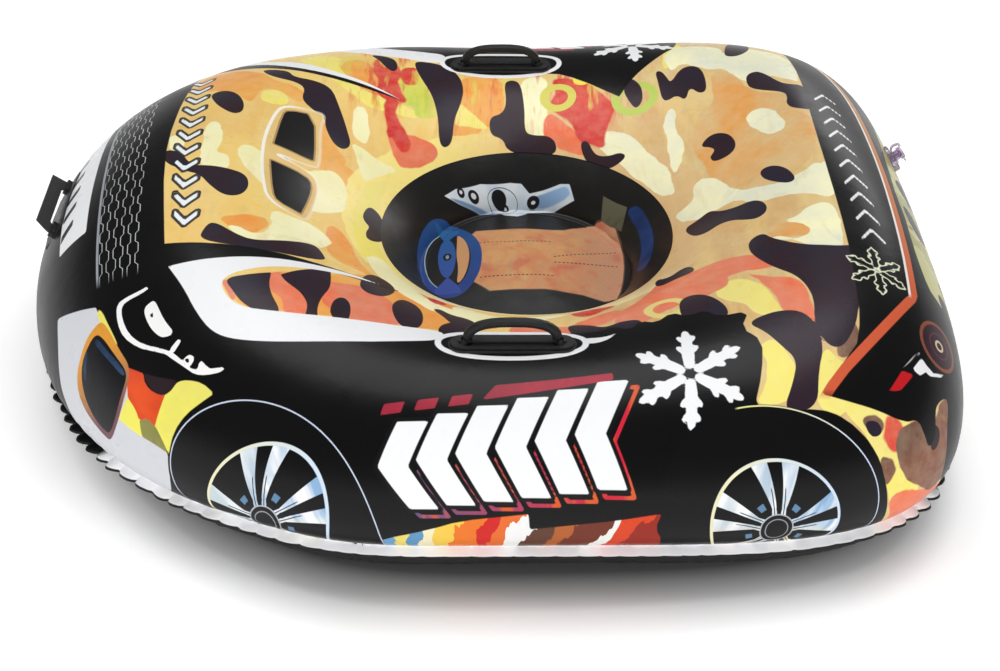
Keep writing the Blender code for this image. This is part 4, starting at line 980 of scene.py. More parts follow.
# Six arrow heads along each side, each a little higher and bigger than the one in front of it
BARS = []
BAR_EDGES = []
for number in range(6):
    tip = -12.2 + number * 4.25
    middle = -46.4 + number * 0.62
    half = 4.5 + 0.28 * number
    BARS.append(arrow(tip, middle, half, 2.6, 3.3))
    BAR_EDGES.append(arrow(tip + 0.9, middle - 0.9, half, 2.6, 3.3))
WEDGE = [
    [(-0.6, -39.4), (0.9, -37.6), (13.3, -36.3), (13.3, -37.2)],
    [(-11.4, -41.2), (-10.9, -40), (-8.7, -39.7), (-9.2, -40.9)],
    [(-7.8, -40.7), (-7.3, -39.5), (-5.1, -39.2), (-5.6, -40.4)],
    [(-4.2, -40.2), (-3.7, -39), (-1.5, -38.7), (-2, -39.9)],
]


def chevron(x, y, size, thick, turn=0.0):
    """A plain V that points along +x, turned by an angle."""
    ring = [(-size, size), (-size + thick, size), (size * 0.35 + thick, 0), (-size + thick, -size),
            (-size, -size), (size * 0.35, 0)]
    spin = math.radians(turn)
    return [(x + px * math.cos(spin) - py * math.sin(spin), y + px * math.sin(spin) + py * math.cos(spin))
            for px, py in ring]


# A row of chevrons across the hood and one across the rear deck
MARK_PITCH = 3.5
HOOD_MARKS = []
for mark in range(11):
    off = 21.6 - mark * MARK_PITCH
    HOOD_MARKS.append(chevron(-36.3 + 0.045 * (4 - off) + 0.075 * max(0, -off), off, 1.35, 0.95, -90))
REAR_MARKS = []
for mark in range(10):
    off = 15.6 - mark * MARK_PITCH
    REAR_MARKS.append(chevron(44.2 + 0.0006 * off ** 2, off, 1.5, 0.62, 90))


def snowflake(x, y, size, width):
    """Six arms, each with two pairs of twigs, as outlines."""
    outlines = []
    for arm in range(6):
        turn = math.radians(60 * arm + 30)
        along = np.array([math.cos(turn), math.sin(turn)])
        across = np.array([-along[1], along[0]])

        def place(far, off):
            spot = np.array([x, y]) + along * far * size + across * off
            return (float(spot[0]), float(spot[1]))

        outlines.append([place(0.06, 0), place(0.2, width), place(0.92, width * 0.7), place(1.04, 0),
                         place(0.92, -width * 0.7), place(0.2, -width)])
        for far, length in ((0.34, 0.26), (0.62, 0.22)):
            for side in (-1, 1):
                tip = far + length * 0.8
                off = side * length * size * 0.8
                outlines.append([place(far, 0), place(tip, off),
                                 place(tip + 0.1, off - side * width * 0.4), place(far + 0.16, 0)])
    return outlines


MOTIF = snowflake(21.4, -36.9, 6.3, 0.72)
EMBLEM = snowflake(43.7, -22.2, 3.7, 0.42)
PLATE_MARKS = []
for mark in range(6):
    off = 11.6 - mark * 3.9
    inner = -50.9 + 0.075 * -off
    outer = -52.9 + 0.075 * -off
    PLATE_MARKS.append([(inner, off - 0.6), (outer, off - 2.6), (outer, off - 1.1), (inner, off + 0.9)])


# Each print layer of the skin: its outlines, how often their corners are cut, and whether both sides have it
LAYERS = {
    "orange": (ORANGE, 2, False),
    "yellow": (YELLOW, 2, False),
    "cream": (CREAM, 2, False),
    "salmon": (SALMON, 2, False),
    "red": (RED, 2, False),
    "green": (GREEN, 2, False),
    "late_yellow": (LATE_YELLOW, 1, True),
    "late_red": (LATE_RED, 1, True),
    "late_green": (LATE_GREEN, 1, True),
    "late_dark": (LATE_DARK, 1, True),
    "smoke": (SMOKE, 2, False),
    "dark": (DARK, 3, False),
    "black": (BLACK, 1, False),
    "blocks": (BLOCKS, 1, True),
    "white": (WHITE, 2, False),
    "bumper": (BUMPER, 2, True),
    "stadia": (STADIA, 4, False),
    "windows": (WINDOWS, 1, False),
    "scoop": (SCOOP, 2, False),
    "headlamp": (HEADLAMP, 1, True),
    "headlamp_holes": (HEADLAMP_HOLES, 1, True),
    "fog_ring": (FOG_RING, 2, True),
    "fog_lens": (FOG_LENS, 2, True),
    "fog_blue": (FOG_BLUE, 1, True),
    "plate": (PLATE, 1, False),
    "plate_marks": (PLATE_MARKS, 0, False),
    "tail_trim": (TAIL_TRIM, 0, True),
    "tail_bar": (TAIL_BAR, 0, True),
    "stripe": (STRIPE_EDGE, 2, False),
    "bars": (BARS, 0, True),
    "bar_edges": (BAR_EDGES, 0, True),
    "wedge": (WEDGE, 0, True),
    "hood_marks": (HOOD_MARKS, 0, False),
    "rear_marks": (REAR_MARKS, 0, False),
    "motif": (MOTIF, 1, True),
    "emblem": (EMBLEM, 0, False),
}
SMOOTHING_PASSES = 26
EDGE_DROP = 0.0007          # the margin's edge turns down this far
EDGE_TURN_IN = (0.0001, 0.010)      # and then in under itself
BEYOND_EDGE = 0.02


def flat_places(plan):
    """Places with two values as ones with three."""
    return np.concatenate([plan, np.zeros((*plan.shape[:2], 1))], axis=2)


def make_skin():
    """The printed top skin, in panels that share one surface."""
    angle = np.arange(COLUMNS) / COLUMNS * 2 * math.pi
    rim, out, reach, crown = section_places(angle)
    section = skin_sections(reach, crown)
    lengths = np.linalg.norm(np.diff(section, axis=1), axis=2)
    along = np.concatenate([np.zeros((COLUMNS, 1)), np.cumsum(lengths, axis=1)], axis=1)
    from_ridge = along - along[:, RIDGE_ROW:RIDGE_ROW + 1]
    flat = rim[:, None] + out[:, None] * (RIDGE_SHARE * reach[:, None] + from_ridge)[..., None]
    section = smoothed(section, SMOOTHING_PASSES, WELD_ROW)
    spot = rim[:, None] + out[:, None] * section[..., :1]
    points = np.concatenate([spot, section[..., 1:]], axis=2)
    points = undulated(points, angle)
    points = puckered(points, angle, out)
    inward = np.concatenate([-out, np.zeros((COLUMNS, 1))], axis=1)[:, None]
    edge = points[:, -1:] + np.array([0, 0, -EDGE_DROP])
    points = np.concatenate([points] + [edge + inward * way for way in EDGE_TURN_IN], axis=1)
    flat = np.concatenate([flat, flat[:, -1:], flat[:, -1:]], axis=1)
    below_weld = along - along[:, WELD_ROW:WELD_ROW + 1]
    places = flat.reshape(-1, 2)
    folded = np.stack([places[:, 0], -np.abs(places[:, 1])], 1)
    values = {}
    for name, (outlines, rounds, mirrored) in LAYERS.items():
        values[name] = inside_distance(folded if mirrored else places, outlines, rounds)
    values["below_weld"] = np.concatenate([below_weld, np.full((COLUMNS, 2), BEYOND_EDGE)], axis=1)
    normals = grid_normals(points)
    print_place = flat_places(flat)
    material = skin_material()
    share = COLUMNS // PANELS
    for panel in range(PANELS):
        chosen = np.arange(panel * share, (panel + 1) * share + 1) % COLUMNS
        part = {name: value.reshape(COLUMNS, -1)[chosen] for name, value in values.items()}
        made = make_mesh(f"skin_panel_{panel + 1}", points[chosen], normals[chosen], part,
                         {"print_place": print_place[chosen]}, wrap=False)
        made.data.materials.append(material)
        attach(made, "tube")
        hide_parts("top_skin")


# Inks of the print
BLACK_INK = srgb(13, 13, 14)
WHITE_INK = srgb(240, 241, 243)
# The tones of the band low on each side, from the front to the rear
BAND_TONES = [
    (0.0, srgb(110, 160, 200)), (0.05, srgb(236, 214, 110)), (0.11, srgb(96, 150, 190)),
    (0.16, srgb(240, 230, 190)), (0.21, srgb(240, 200, 80)), (0.28, srgb(232, 120, 44)),
    (0.36, srgb(206, 40, 36)), (0.42, srgb(228, 110, 50)), (0.475, srgb(238, 238, 236)),
    (0.545, srgb(96, 60, 46)), (0.63, srgb(176, 96, 48)), (0.68, srgb(112, 52, 38)),
    (0.79, srgb(236, 236, 230)), (0.83, srgb(214, 70, 36)), (0.92, srgb(150, 44, 32)),
]
BAND_START = 0.15
BAND_LENGTH = 0.35
COLLAR_RADIUS = (0.214, 0.212)
GRILLE_START = 0.466
GRILLE_SLOPE = 0.086
GRILLE_PITCH = 0.0096
GRILLE_JOG = 0.0018
GRILLE_JOG_TURNS = 190
TAIL_LAMP_AT = (51, 30.3)
# For each wheel, the rows that turn a place on the print into one where the rim's radius is 1. The front
# wheel also has its arch on the print, in cm: middle along and across, stretch along, radius
WHEELS = (
    ((10.22, 6.35, -0.25), (0.68, -11.60, 6.184), (-28.1, 51.3, 1.09, 12.75)),
    ((11.92, -5.57, -1.083), (-0.58, -12.69, 7.041), None),
)
REAR_ARCH_RADIUS = 1.70
SPOKES = 5


def paint_camouflage(paint):
    """A tan ground with yellow to red, green and brown shapes, brush marks and stains."""
    at = paint.at
    along = paint.along
    across = paint.across
    rearward = paint.step(along, 0.02, 0.14)
    tint = paint.step(paint.noise(5.5, 2, 0.5, at), 0.4, 0.6)
    ground = paint.mix(tint, srgb(242, 206, 116), srgb(234, 190, 108))
    rear_ground = paint.mix(paint.wash, srgb(216, 192, 140), srgb(214, 170, 112))
    paint.colour = paint.mix(rearward, ground, rear_ground)
    paint.over(paint.step(paint.brush, 0.42, 0.66, 0, 0.6), srgb(238, 214, 140))
    deep = paint.mix(rearward, srgb(240, 152, 62), srgb(228, 160, 84))
    pale = paint.mix(rearward, srgb(238, 178, 90), srgb(218, 188, 134))
    paint.layer("orange", deep, pale, 0.0007, True)

    off_axis = paint.times(across, paint.step(across, 0.0, 0.1, 1.0, 1.075))
    collar = paint.far(paint.minus(along, WELL_X), off_axis)
    collar = paint.step(paint.plus(collar, paint.times(paint.wobble, 1.2)), *COLLAR_RADIUS)
    tone = paint.mix(paint.step(along, -0.06, 0.10), srgb(250, 232, 138), srgb(222, 182, 132))
    tone = paint.mix(paint.step(across, -0.09, -0.17), tone, srgb(246, 238, 190))
    paint.over(paint.times(collar, paint.step(along, 0.0, 0.1, 0.9, 0.6)), tone)

    dull_cream = paint.mix(rearward, srgb(242, 236, 178), srgb(228, 230, 206))
    for name, first, second, soft in (("yellow", srgb(244, 230, 108), srgb(240, 226, 132), 0.0005),
                                      ("cream", srgb(250, 246, 200), dull_cream, 0.0005),
                                      ("green", srgb(186, 206, 74), srgb(222, 216, 96), 0.0014),
                                      ("salmon", srgb(238, 112, 72), srgb(226, 130, 102), 0.0010),
                                      ("red", srgb(204, 34, 44), srgb(220, 78, 60), 0.0014),
                                      ("smoke", srgb(134, 84, 66), srgb(112, 78, 64), 0.0008)):
        paint.layer(name, first, second, soft, True)

    smear = paint.noise(30, 4, 0.7, at, stretch=(1, 0.14, 1))
    messy = paint.times(paint.step(across, 0.17, 0.22), paint.step(along, -0.22, -0.17),
                        paint.step(along, 0.24, 0.17))
    paint.over(paint.times(messy, paint.step(smear, 0.53, 0.60, 0, 0.7)), srgb(212, 60, 44))
    paint.over(paint.times(messy, paint.step(smear, 0.47, 0.41, 0, 0.6)), srgb(222, 214, 88))
    paint.over(paint.step(paint.brush, 0.58, 0.78, 0, 0.3), srgb(220, 150, 92))
    stain = paint.noise(17, 4, 0.72, at, distortion=1.2)
    paint.over(paint.step(stain, 0.58, 0.74, 0, 0.30), srgb(186, 160, 104))
    paint.over(paint.step(paint.noise(60, 3, 0.6, at), 0.35, 0.7, 0, 0.10), srgb(255, 244, 206))

    olive = paint.step(paint.plus(along, paint.times(across, 0.02)), 0.492, 0.500, 0, 0.85)
    olive = paint.times(olive, paint.step(across, -0.34, -0.30))
    patches = paint.step(paint.noise(12, 1, 0.4, at, distortion=0.5), 0.50, 0.506)
    tone = paint.mix(patches, srgb(188, 190, 134), srgb(158, 160, 104))
    patches = paint.step(paint.noise(9, 1, 0.4, at, distortion=0.9), 0.60, 0.605)
    paint.over(olive, paint.mix(patches, tone, srgb(112, 96, 72)))

    for centre, radius, width, tone in (((10.5, 25), 1.9, 1.1, srgb(214, 208, 96)),
                                        ((13.9, 28), 0.6, 1.3, srgb(244, 226, 92)),
                                        ((20.6, 22.6), 2.5, 1.2, srgb(190, 206, 98)),
                                        ((20, -25), 2.0, 1.0, srgb(230, 214, 130))):
        paint.over(paint.ring(across, centre, radius, width), tone)


def paint_body(paint):
    """The black body with the side's band, the white frames, the bumper and the grips' places."""
    along = paint.along
    paint.layer("dark", srgb(50, 32, 38), srgb(42, 37, 50), 0.0004)
    paint.layer("black", BLACK_INK)
    place = paint.ratio(paint.plus(along, BAND_START), BAND_LENGTH)
    place = paint.plus(place, paint.times(paint.minus(paint.side, 0.54), 1.6))
    place = paint.plus(place, paint.times(paint.minus(paint.brush, 0.5), 0.16))
    paint.layer("blocks", paint.ramp(place, BAND_TONES))
    paint.layer("white", WHITE_INK)
    paint.layer("bumper", srgb(207, 208, 213))
    paint.layer("late_yellow", srgb(240, 232, 96), srgb(226, 218, 110))
    paint.layer("late_green", srgb(146, 142, 78), srgb(116, 114, 66))
    paint.layer("late_red", srgb(226, 84, 36), srgb(196, 60, 34))
    paint.layer("late_dark", srgb(42, 30, 34))
    paint.layer("stadia", WHITE_INK)
    paint.layer("stadia", BLACK_INK, inset=0.0068)

    paint.layer("scoop", srgb(222, 186, 116), srgb(232, 200, 132))
    left_part = paint.step(along, -0.226, -0.246)
    scoop_line = paint.near(paint.value("scoop"), 0.0026, 0.0016)
    paint.over(paint.times(scoop_line, paint.step(left_part, 0, 1, 0.35, 1.0)), srgb(248, 244, 232))
    paint.line("windows", 0.0022, srgb(176, 142, 92), -0.0012)
    paint.layer("windows", srgb(28, 26, 28))


def paint_front(paint):
    """The lamps, the plain panel with its slanted marks, and the grille of jogged lines."""
    amber = paint.mix(paint.step(paint.side, 0.29, 0.36), srgb(218, 150, 56), srgb(112, 74, 82))
    paint.layer("fog_ring", amber)
    paint.layer("fog_lens", srgb(16, 17, 20))
    paint.layer("fog_blue", srgb(56, 88, 126), srgb(30, 46, 70))
    paint.layer("headlamp", srgb(240, 240, 238), soft=0.0003)
    paint.layer("headlamp_holes", srgb(24, 24, 26), soft=0.0003)
    paint.layer("plate", srgb(232, 233, 235))
    paint.layer("plate_marks", srgb(38, 38, 40))

    across = paint.across
    brush = paint.brush
    place = paint.plus(paint.plus(paint.along, paint.times(across, GRILLE_SLOPE)), GRILLE_START)
    ends = paint.step(paint.absolute(paint.plus(across, 0.005)), 0.21, 0.195)
    paint.over(paint.times(paint.near(place, 0.0021, 0.0013), ends), srgb(150, 154, 160))
    jog = paint.math("SINE", paint.times(across, GRILLE_JOG_TURNS))
    jog = paint.step(jog, -0.35, 0.35, -GRILLE_JOG, GRILLE_JOG)
    cell = paint.math("FLOOR", paint.ratio(place, GRILLE_PITCH))
    parity = paint.step(paint.math("FRACT", paint.times(cell, 0.5)), 0.2, 0.3, -1, 1)
    waver = paint.plus(paint.times(jog, parity), paint.times(paint.minus(brush, 0.5), 0.003))
    bar_place = paint.ratio(paint.plus(place, waver), GRILLE_PITCH)
    nearest = paint.absolute(paint.minus(paint.math("FRACT", bar_place), 0.5))
    inner = paint.times(paint.step(bar_place, 0.1, 0.2), paint.step(bar_place, 5.95, 5.85))
    lines = paint.times(paint.step(nearest, 0.075, 0.035), inner, ends)
    paint.over(paint.times(lines, paint.step(brush, 0.3, 0.7, 0.6, 1.0)), srgb(206, 208, 210))


def paint_rear(paint):
    """The chevron rows, the orange stripe with its white line, and the tail lamps."""
    across = paint.across
    paint.line("hood_marks", 0.0022, srgb(30, 42, 52), -0.0026)
    paint.layer("hood_marks", srgb(28, 28, 30), inset=-0.0016)
    paint.layer("hood_marks", srgb(238, 242, 246))
    paint.layer("rear_marks", srgb(232, 233, 235))

    stripe = paint.value("stripe")
    low_part = paint.step(across, -0.244, -0.252)
    upper = paint.step(across, -0.40, -0.388)
    from_line = paint.plus(stripe, paint.times(low_part, 0.003))
    share = paint.times(paint.step(from_line, 0.0, 0.0006), paint.step(from_line, 0.0118, 0.0108), upper)
    paint.over(share, paint.mix(paint.step(across, -0.28, 0.2), srgb(206, 92, 60), srgb(186, 132, 58)))
    share = paint.times(paint.near(stripe, 0.0022, 0.0014), upper, paint.step(low_part, 1, 0))
    paint.over(share, srgb(238, 232, 228))

    in_black = paint.step(paint.value("black"), 0.001, 0.002)
    for radius, width, tone in ((1.55, 3.2, srgb(48, 27, 38)), (0.6, 0.3, srgb(206, 186, 160)),
                                (1.6, 0.2, srgb(92, 46, 56)), (2.95, 0.45, srgb(132, 72, 52))):
        paint.over(paint.times(paint.ring(paint.side, TAIL_LAMP_AT, radius, width), in_black), tone)
    paint.layer("tail_trim", srgb(236, 236, 238))
    paint.layer("tail_bar", srgb(188, 28, 34))


def paint_sides(paint):
    """The arrow heads with their coloured edges, the wedge over them and the snowflakes."""
    red_edge = paint.mix(paint.step(paint.along, -0.10, 0.12), srgb(96, 84, 120), srgb(206, 40, 60))
    red_edge = paint.mix(paint.step(paint.brush, 0.5, 0.6), red_edge, srgb(212, 92, 50))
    paint.over(paint.near(paint.value("bar_edges"), 0.0026, 0.0018), red_edge)
    paint.layer("bars", srgb(20, 20, 21), inset=-0.0045)
    paint.layer("bars", WHITE_INK)
    paint.layer("wedge", srgb(176, 44, 64), srgb(150, 44, 60))
    paint.layer("motif", WHITE_INK)
    paint.line("emblem", 0.0014, srgb(226, 228, 200))


def paint_wheel(paint, across_row, up_row, arch):
    """A plain printed wheel: arch line, rim ring, five twin spokes and a hub; the rim's radius is 1."""
    along = paint.along
    side = paint.side
    dx, dy = [paint.plus(paint.plus(paint.times(along, row[0]), row[2]), paint.times(side, row[1]))
              for row in (across_row, up_row)]
    far = paint.far(dx, dy)
    part = paint.times(paint.math("ARCTAN2", dx, dy), SPOKES / (2 * math.pi))
    off = paint.absolute(paint.minus(paint.math("FRACT", paint.plus(part, 0.5)), 0.5))
    arc = paint.times(off, 2 * math.pi / SPOKES, far)
    if arch:
        from_arch = paint.far(paint.ratio(paint.minus(along, arch[0] * CM), arch[2]),
                              paint.minus(side, arch[1] * CM))
        from_arch = paint.ratio(from_arch, arch[3] * CM)
    else:
        from_arch = paint.ratio(far, REAR_ARCH_RADIUS)
    paint.over(paint.step(from_arch, 1.012, 1.008), srgb(14, 14, 15))

    outer = paint.step(far, 0.36, 0.98, 0.105, 0.335)
    slit = paint.step(far, 0.25, 1.0, 0.028, 0.105)
    spoke = paint.times(paint.step(paint.minus(outer, arc), -0.004, 0.004),
                        paint.step(paint.minus(arc, slit), -0.004, 0.004),
                        paint.step(far, 0.245, 0.255), paint.step(far, 0.985, 0.975))
    cool = paint.mix(paint.step(dx, -0.5, 0.6), srgb(196, 208, 214), srgb(140, 176, 212))
    warm = paint.mix(paint.step(dx, -0.6, 0.3), srgb(224, 206, 200), srgb(220, 216, 170))
    tone = paint.mix(paint.step(dy, 0.1, -0.1), cool, warm)
    tone = paint.mix(paint.step(paint.brush, 0.42, 0.60), tone, srgb(240, 242, 243))
    groove = paint.near(paint.minus(paint.minus(arc, slit), 0.035), 0.011, 0.004)
    tone = paint.mix(paint.times(groove, paint.step(far, 0.66, 0.62)), tone, srgb(40, 42, 48))
    paint.over(spoke, tone)
    lug = paint.times(paint.near(paint.minus(far, 0.43), 0.055, 0.045), paint.step(off, 0.40, 0.41))
    paint.over(lug, srgb(96, 132, 164))
    nick = paint.times(paint.near(paint.minus(far, 0.34), 0.03, 0.02), paint.step(off, 0.10, 0.09))
    paint.over(nick, srgb(20, 20, 22))
    rim_tone = paint.mix(paint.step(dx, -0.7, 0.7), srgb(232, 228, 190), srgb(206, 222, 238))
    for place, width, tone in ((1.0, 0.044, rim_tone), (0.175, 0.016, srgb(150, 154, 160)),
                               (0.255, 0.020, srgb(176, 180, 186))):
        paint.over(paint.near(paint.minus(far, place), width / 2 + 0.004, width / 2 - 0.004), tone)
    line = paint.near(paint.minus(from_arch, 1), 0.0078, 0.0036)
    if arch:
        paint.over(line, srgb(196, 206, 224))
    else:
        tone = paint.mix(paint.step(dx, 0.1, 1.3), srgb(232, 226, 150), srgb(200, 212, 236))
        paint.over(paint.times(line, paint.step(dx, -0.28, -0.22)), tone)


def paint_margin(paint):
    """The white margin along the sides and the black one round the ends, with a ragged upper edge."""
    along = paint.along
    ragged = paint.times(paint.minus(paint.noise(95, 3, 0.7, paint.at), 0.5), 0.013)
    torn = paint.times(paint.step(along, -0.46, -0.40), paint.step(along, -0.10, -0.16))
    ragged = paint.times(ragged, paint.step(torn, 0, 1, 1.0, 2.4))
    margin = paint.step(paint.plus(paint.value("below_weld"), ragged), -0.0022, -0.0014)
    paint.over(margin, srgb(246, 246, 248))
    ends = paint.step(paint.minus(paint.side, paint.step(along, -0.05, 0.05, 0.375, 0.455)), 0.004, -0.004)
    paint.over(paint.times(margin, ends), srgb(16, 16, 17))
    edge = paint.step(paint.value("below_weld"), PRINTED_MARGIN - 0.0006, PRINTED_MARGIN)
    paint.over(edge, srgb(40, 44, 40))


def skin_material():
    """The print, painted layer on layer in the order that it lies, on slightly rippled film."""
    paint = Print("printed_pvc", 0.0005)
    paint.side = paint.absolute(paint.across)
    paint.brush = paint.noise(34, 3, 0.6, paint.at, stretch=(1, 0.22, 1))
    paint.wash = paint.step(paint.noise(9, 4, 0.6, paint.at, distortion=0.6), 0.36, 0.64)
    paint.wobble = paint.times(paint.minus(paint.noise(26, 2, 0.5, paint.at), 0.5), 0.014)
    paint_camouflage(paint)
    paint_body(paint)
    paint_front(paint)
    paint_rear(paint)
    paint_sides(paint)
    for across_row, up_row, arch in WHEELS:
        paint_wheel(paint, across_row, up_row, arch)
    paint_margin(paint)
    ripple = paint.times(paint.noise(38, 3, 0.55), 0.5)
    grain = paint.times(paint.noise(900, 2, 0.5), 0.02)
    normal = paint.bump(paint.plus(ripple, grain), 0.0012, 0.5)
    roughness = paint.step(paint.noise(14, 3, 0.6), 0.3, 0.7, 0.25, 0.33)
    facing = paint.tree.nodes.new("ShaderNodeLayerWeight").outputs["Facing"]
    shine = paint.step(facing, 0.45, 0.9, 0.18, 0.06)
    return paint.plastic(paint.colour, roughness, normal, Specular_IOR_Level=shine)


# The base sheet
BASE_DROP = 0.0024      # of its outer side under the top sheet's
BASE_EDGE = 0.0006      # its edge ends this far inside the margin's
BASE_LIP = 0.0014       # and turns up this far
BASE_ROWS = 20
BOTTOM_RINGS = 12
WRINKLE = 0.0011
WRINKLE_PITCH = 0.034


def make_base():
    """The dark base sheet: its edge under the margin, its wrinkled turn and its flat bottom."""
    angle = np.arange(COLUMNS) / COLUMNS * 2 * math.pi
    rim, out, reach, _ = section_places(angle)
    down = np.array([-math.sin(MARGIN_DROOP), -math.cos(MARGIN_DROOP)]) * BASE_DROP
    along_margin = np.array([math.cos(MARGIN_DROOP), -math.sin(MARGIN_DROOP)])
    weld = pairs(reach - WELD_INSET, WELD_Z) + down
    share = np.linspace(1, 0, 5)[None, :, None]
    margin = weld[:, None] + share * (MARGIN_WIDTH - BASE_EDGE) * along_margin
    lip = margin[:, :1] + np.array([-BASE_EDGE, BASE_LIP])
    turn = np.linspace(0, math.pi / 2, BASE_ROWS)[None, 1:]
    tuck = np.stack([weld[:, :1] - BASE_TUCK * (1 - np.cos(turn)), weld[:, 1:] * (1 - np.sin(turn))], -1)
    section = np.concatenate([lip, margin, tuck], axis=1)
    spot = rim[:, None] + out[:, None] * section[..., :1]
    points = np.concatenate([spot, section[..., 1:]], axis=2)
    points[..., 2] = np.maximum(points[..., 2], 0)
    middle = points[:, -1:, :2].mean(0)
    rings = [points]
    for scale in np.linspace(0.94, 0.0, BOTTOM_RINGS):
        ring = points[:, -1:].copy()
        ring[..., :2] = middle + (ring[..., :2] - middle) * max(scale, 0.002)
        rings.append(ring)
    points = np.concatenate(rings, axis=1)
    rows = points.shape[1]
    share_out = np.zeros((1, rows))
    share_out[0, :6] = [1, 1, 0.75, 0.5, 0.25, 0]
    points = ruffled(points, angle, share_out, out)
    along, whole = weld_lengths(angle)
    fade = np.zeros(rows)
    fade[5:5 + BASE_ROWS] = np.sin(np.linspace(0, math.pi, BASE_ROWS)) ** 0.8
    lean = np.arange(rows)[None] * 0.11
    phase = along[:, None] / whole * round(whole / WRINKLE_PITCH) + lean
    phase = phase + waves(21, angle, (7, 15, 29))[:, None] * 0.8
    fine = np.sin(2 * math.pi * phase) * (0.6 + 0.7 * waves(22, angle, (11, 33))[:, None])
    fine = fine + 0.5 * np.sin(2 * math.pi * (2.3 * phase - 2.1 * lean))
    height = WRINKLE * fine * fade[None] * (0.6 + 0.8 * corner_share(angle)[:, None])
    normal = grid_normals(points)
    points = points + normal * height[..., None]
    points[..., 2] = np.maximum(points[..., 2], 0)
    made = make_mesh("base_sheet", points, grid_normals(points), {}, {}, wrap=True)
    paint = Graph("base_pvc")
    mottle = paint.noise(22, 3, 0.6)
    grain = paint.noise(700, 2, 0.5)
    colour = paint.mix(paint.step(mottle, 0.3, 0.7), srgb(46, 45, 45), srgb(54, 53, 52))
    colour = paint.mix(paint.step(paint.noise(46, 3, 0.7), 0.62, 0.72, 0, 0.5), colour, srgb(64, 52, 48))
    height = paint.plus(paint.noise(60, 2, 0.5), paint.times(grain, 0.15))
    normal = paint.bump(height, 0.0010, 0.5)
    roughness = paint.step(mottle, 0.3, 0.7, 0.46, 0.58)
    made.data.materials.append(paint.plastic(colour, roughness, normal, Specular_IOR_Level=0.3))
    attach(made, "tube")
    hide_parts("base_skin")


def oval(x, y, wide, high, steps=28):
    """A closed outline round a centre."""
    turn = np.linspace(0, 2 * math.pi, steps, endpoint=False)
    return [(x + wide * math.cos(a), y + high * math.sin(a)) for a in turn]


# Print outlines of the seat well, in cm in plan
DASH = [
    [(-4.9, 11.7), (-3.4, 13.1), (-0.1, 14.6), (3.9, 15.3), (5.4, 15.3), (6.5, 14.4), (10.6, 14.7),
     (11.8, 14.4), (12.4, 12.7), (8.6, 12.7), (6.2, 12.6), (4.9, 11.9), (2.5, 12.4), (-0.8, 12.1),
     (-2.9, 11.8)],
]
DASH_BLUE = [
    [(6.8, 14.1), (10.6, 14.4), (11.6, 14.2), (11.9, 13.2), (9, 13.1), (6.6, 13.3)],
    [(-4.4, 11.8), (-3, 12.2), (-0.8, 12.5), (2.4, 12.7), (2.5, 12.4), (-0.8, 12.1), (-2.9, 11.8)],
]
DASH_BLACK = [oval(-2.7, 13.0, 0.52, 0.5), oval(-1.0, 13.2, 0.75, 0.6), oval(2.4, 13.8, 1.0, 0.75),
              oval(3.2, 13.2, 0.6, 0.35), oval(7.0, 13.7, 0.85, 0.5)]
DASH_DOT = [oval(-2.7, 13.05, 0.22, 0.2), oval(-1.0, 13.25, 0.36, 0.27), oval(3.3, 13.25, 0.18, 0.12),
            oval(7.0, 13.65, 0.3, 0.14)]
DASH_RING = [oval(2.9, 13.6, 2.0, 1.15)]
WHEEL_OUTER = [oval(-4.15, 1.4, 4.15, 8.0, 44)]
WHEEL_INNER = [oval(-4.4, 1.3, 2.95, 6.2, 40)]
WHEEL_OPEN = [
    [(-3.2, 7.6), (-2, 5.4), (-1.5, 1.6), (-2.1, -2.4), (-3.3, -4.4), (-3, -1), (-3.3, 2), (-3.2, 5)],
]
WHEEL_HUB = [[(-5.9, 7.7), (-4.6, 5.6), (-3.1, 7.7), (-2.8, 8.5), (-6.2, 8.2)],
             [(-5.9, -4.6), (-4.4, -2.4), (-3.1, -4.3), (-2.6, -5.8), (-6.0, -5.8)],
             oval(-4.5, 1.9, 1.15, 4.4, 24)]
WHEEL_CAP = [oval(-4.45, 2.0, 0.55, 0.85)]
SEAT = [
    [(-3, 8), (6, 8.1), (10.3, 7.8), (12.5, 9.1), (16.2, 9.7), (18, 6.2), (18.4, 1.4), (17.6, -4.6),
     (16.4, -7.8), (11.2, -6), (-2.6, -6)],
]
PATCH = [
    [(16.1, 11.6), (19, 8.5), (18.2, 6.1), (15.8, 9.3)],
]
SIDE_ARC = [
    [(18.9, 8.3), (20.6, 7.7), (21.8, 2.6), (21.5, -1.6), (20.2, -4.8), (19.2, -3.2), (20.3, 0), (20.2, 4),
     (19.4, 6.5)],
]


# Each print layer of the seat well: its outlines, and how often their corners are cut
WELL_LAYERS = {
    "dash": (DASH, 0),
    "dash_blue": (DASH_BLUE, 1),
    "dash_black": (DASH_BLACK, 0),
    "dash_dot": (DASH_DOT, 0),
    "dash_ring": (DASH_RING, 0),
    "wheel_outer": (WHEEL_OUTER, 0),
    "wheel_inner": (WHEEL_INNER, 0),
    "wheel_open": (WHEEL_OPEN, 2),
    "wheel_hub": (WHEEL_HUB, 0),
    "wheel_cap": (WHEEL_CAP, 0),
    "seat": (SEAT, 1),
    "patch": (PATCH, 0),
    "side_arc": (SIDE_ARC, 2),
}
THREAD = srgb(92, 62, 50)
STITCHES = 190          # per metre, of the seat's seams
# Each seam's place across, how much it leans, and its half of the seat
SEAMS = ((0.044, 0, "left"), (-0.033, 0, "left"), (0.006, 1.0, "right"), (-0.005, 0.25, "right"))


def well_print(points):
    """The print layers' values and the print places of a grid of the well, taken in plan."""
    plan = points[..., :2]
    places = plan.reshape(-1, 2)
    values = {}
    for name, (outlines, rounds) in WELL_LAYERS.items():
        values[name] = inside_distance(places, outlines, rounds).reshape(plan.shape[:2])
    return values, {"print_place": flat_places(plan)}


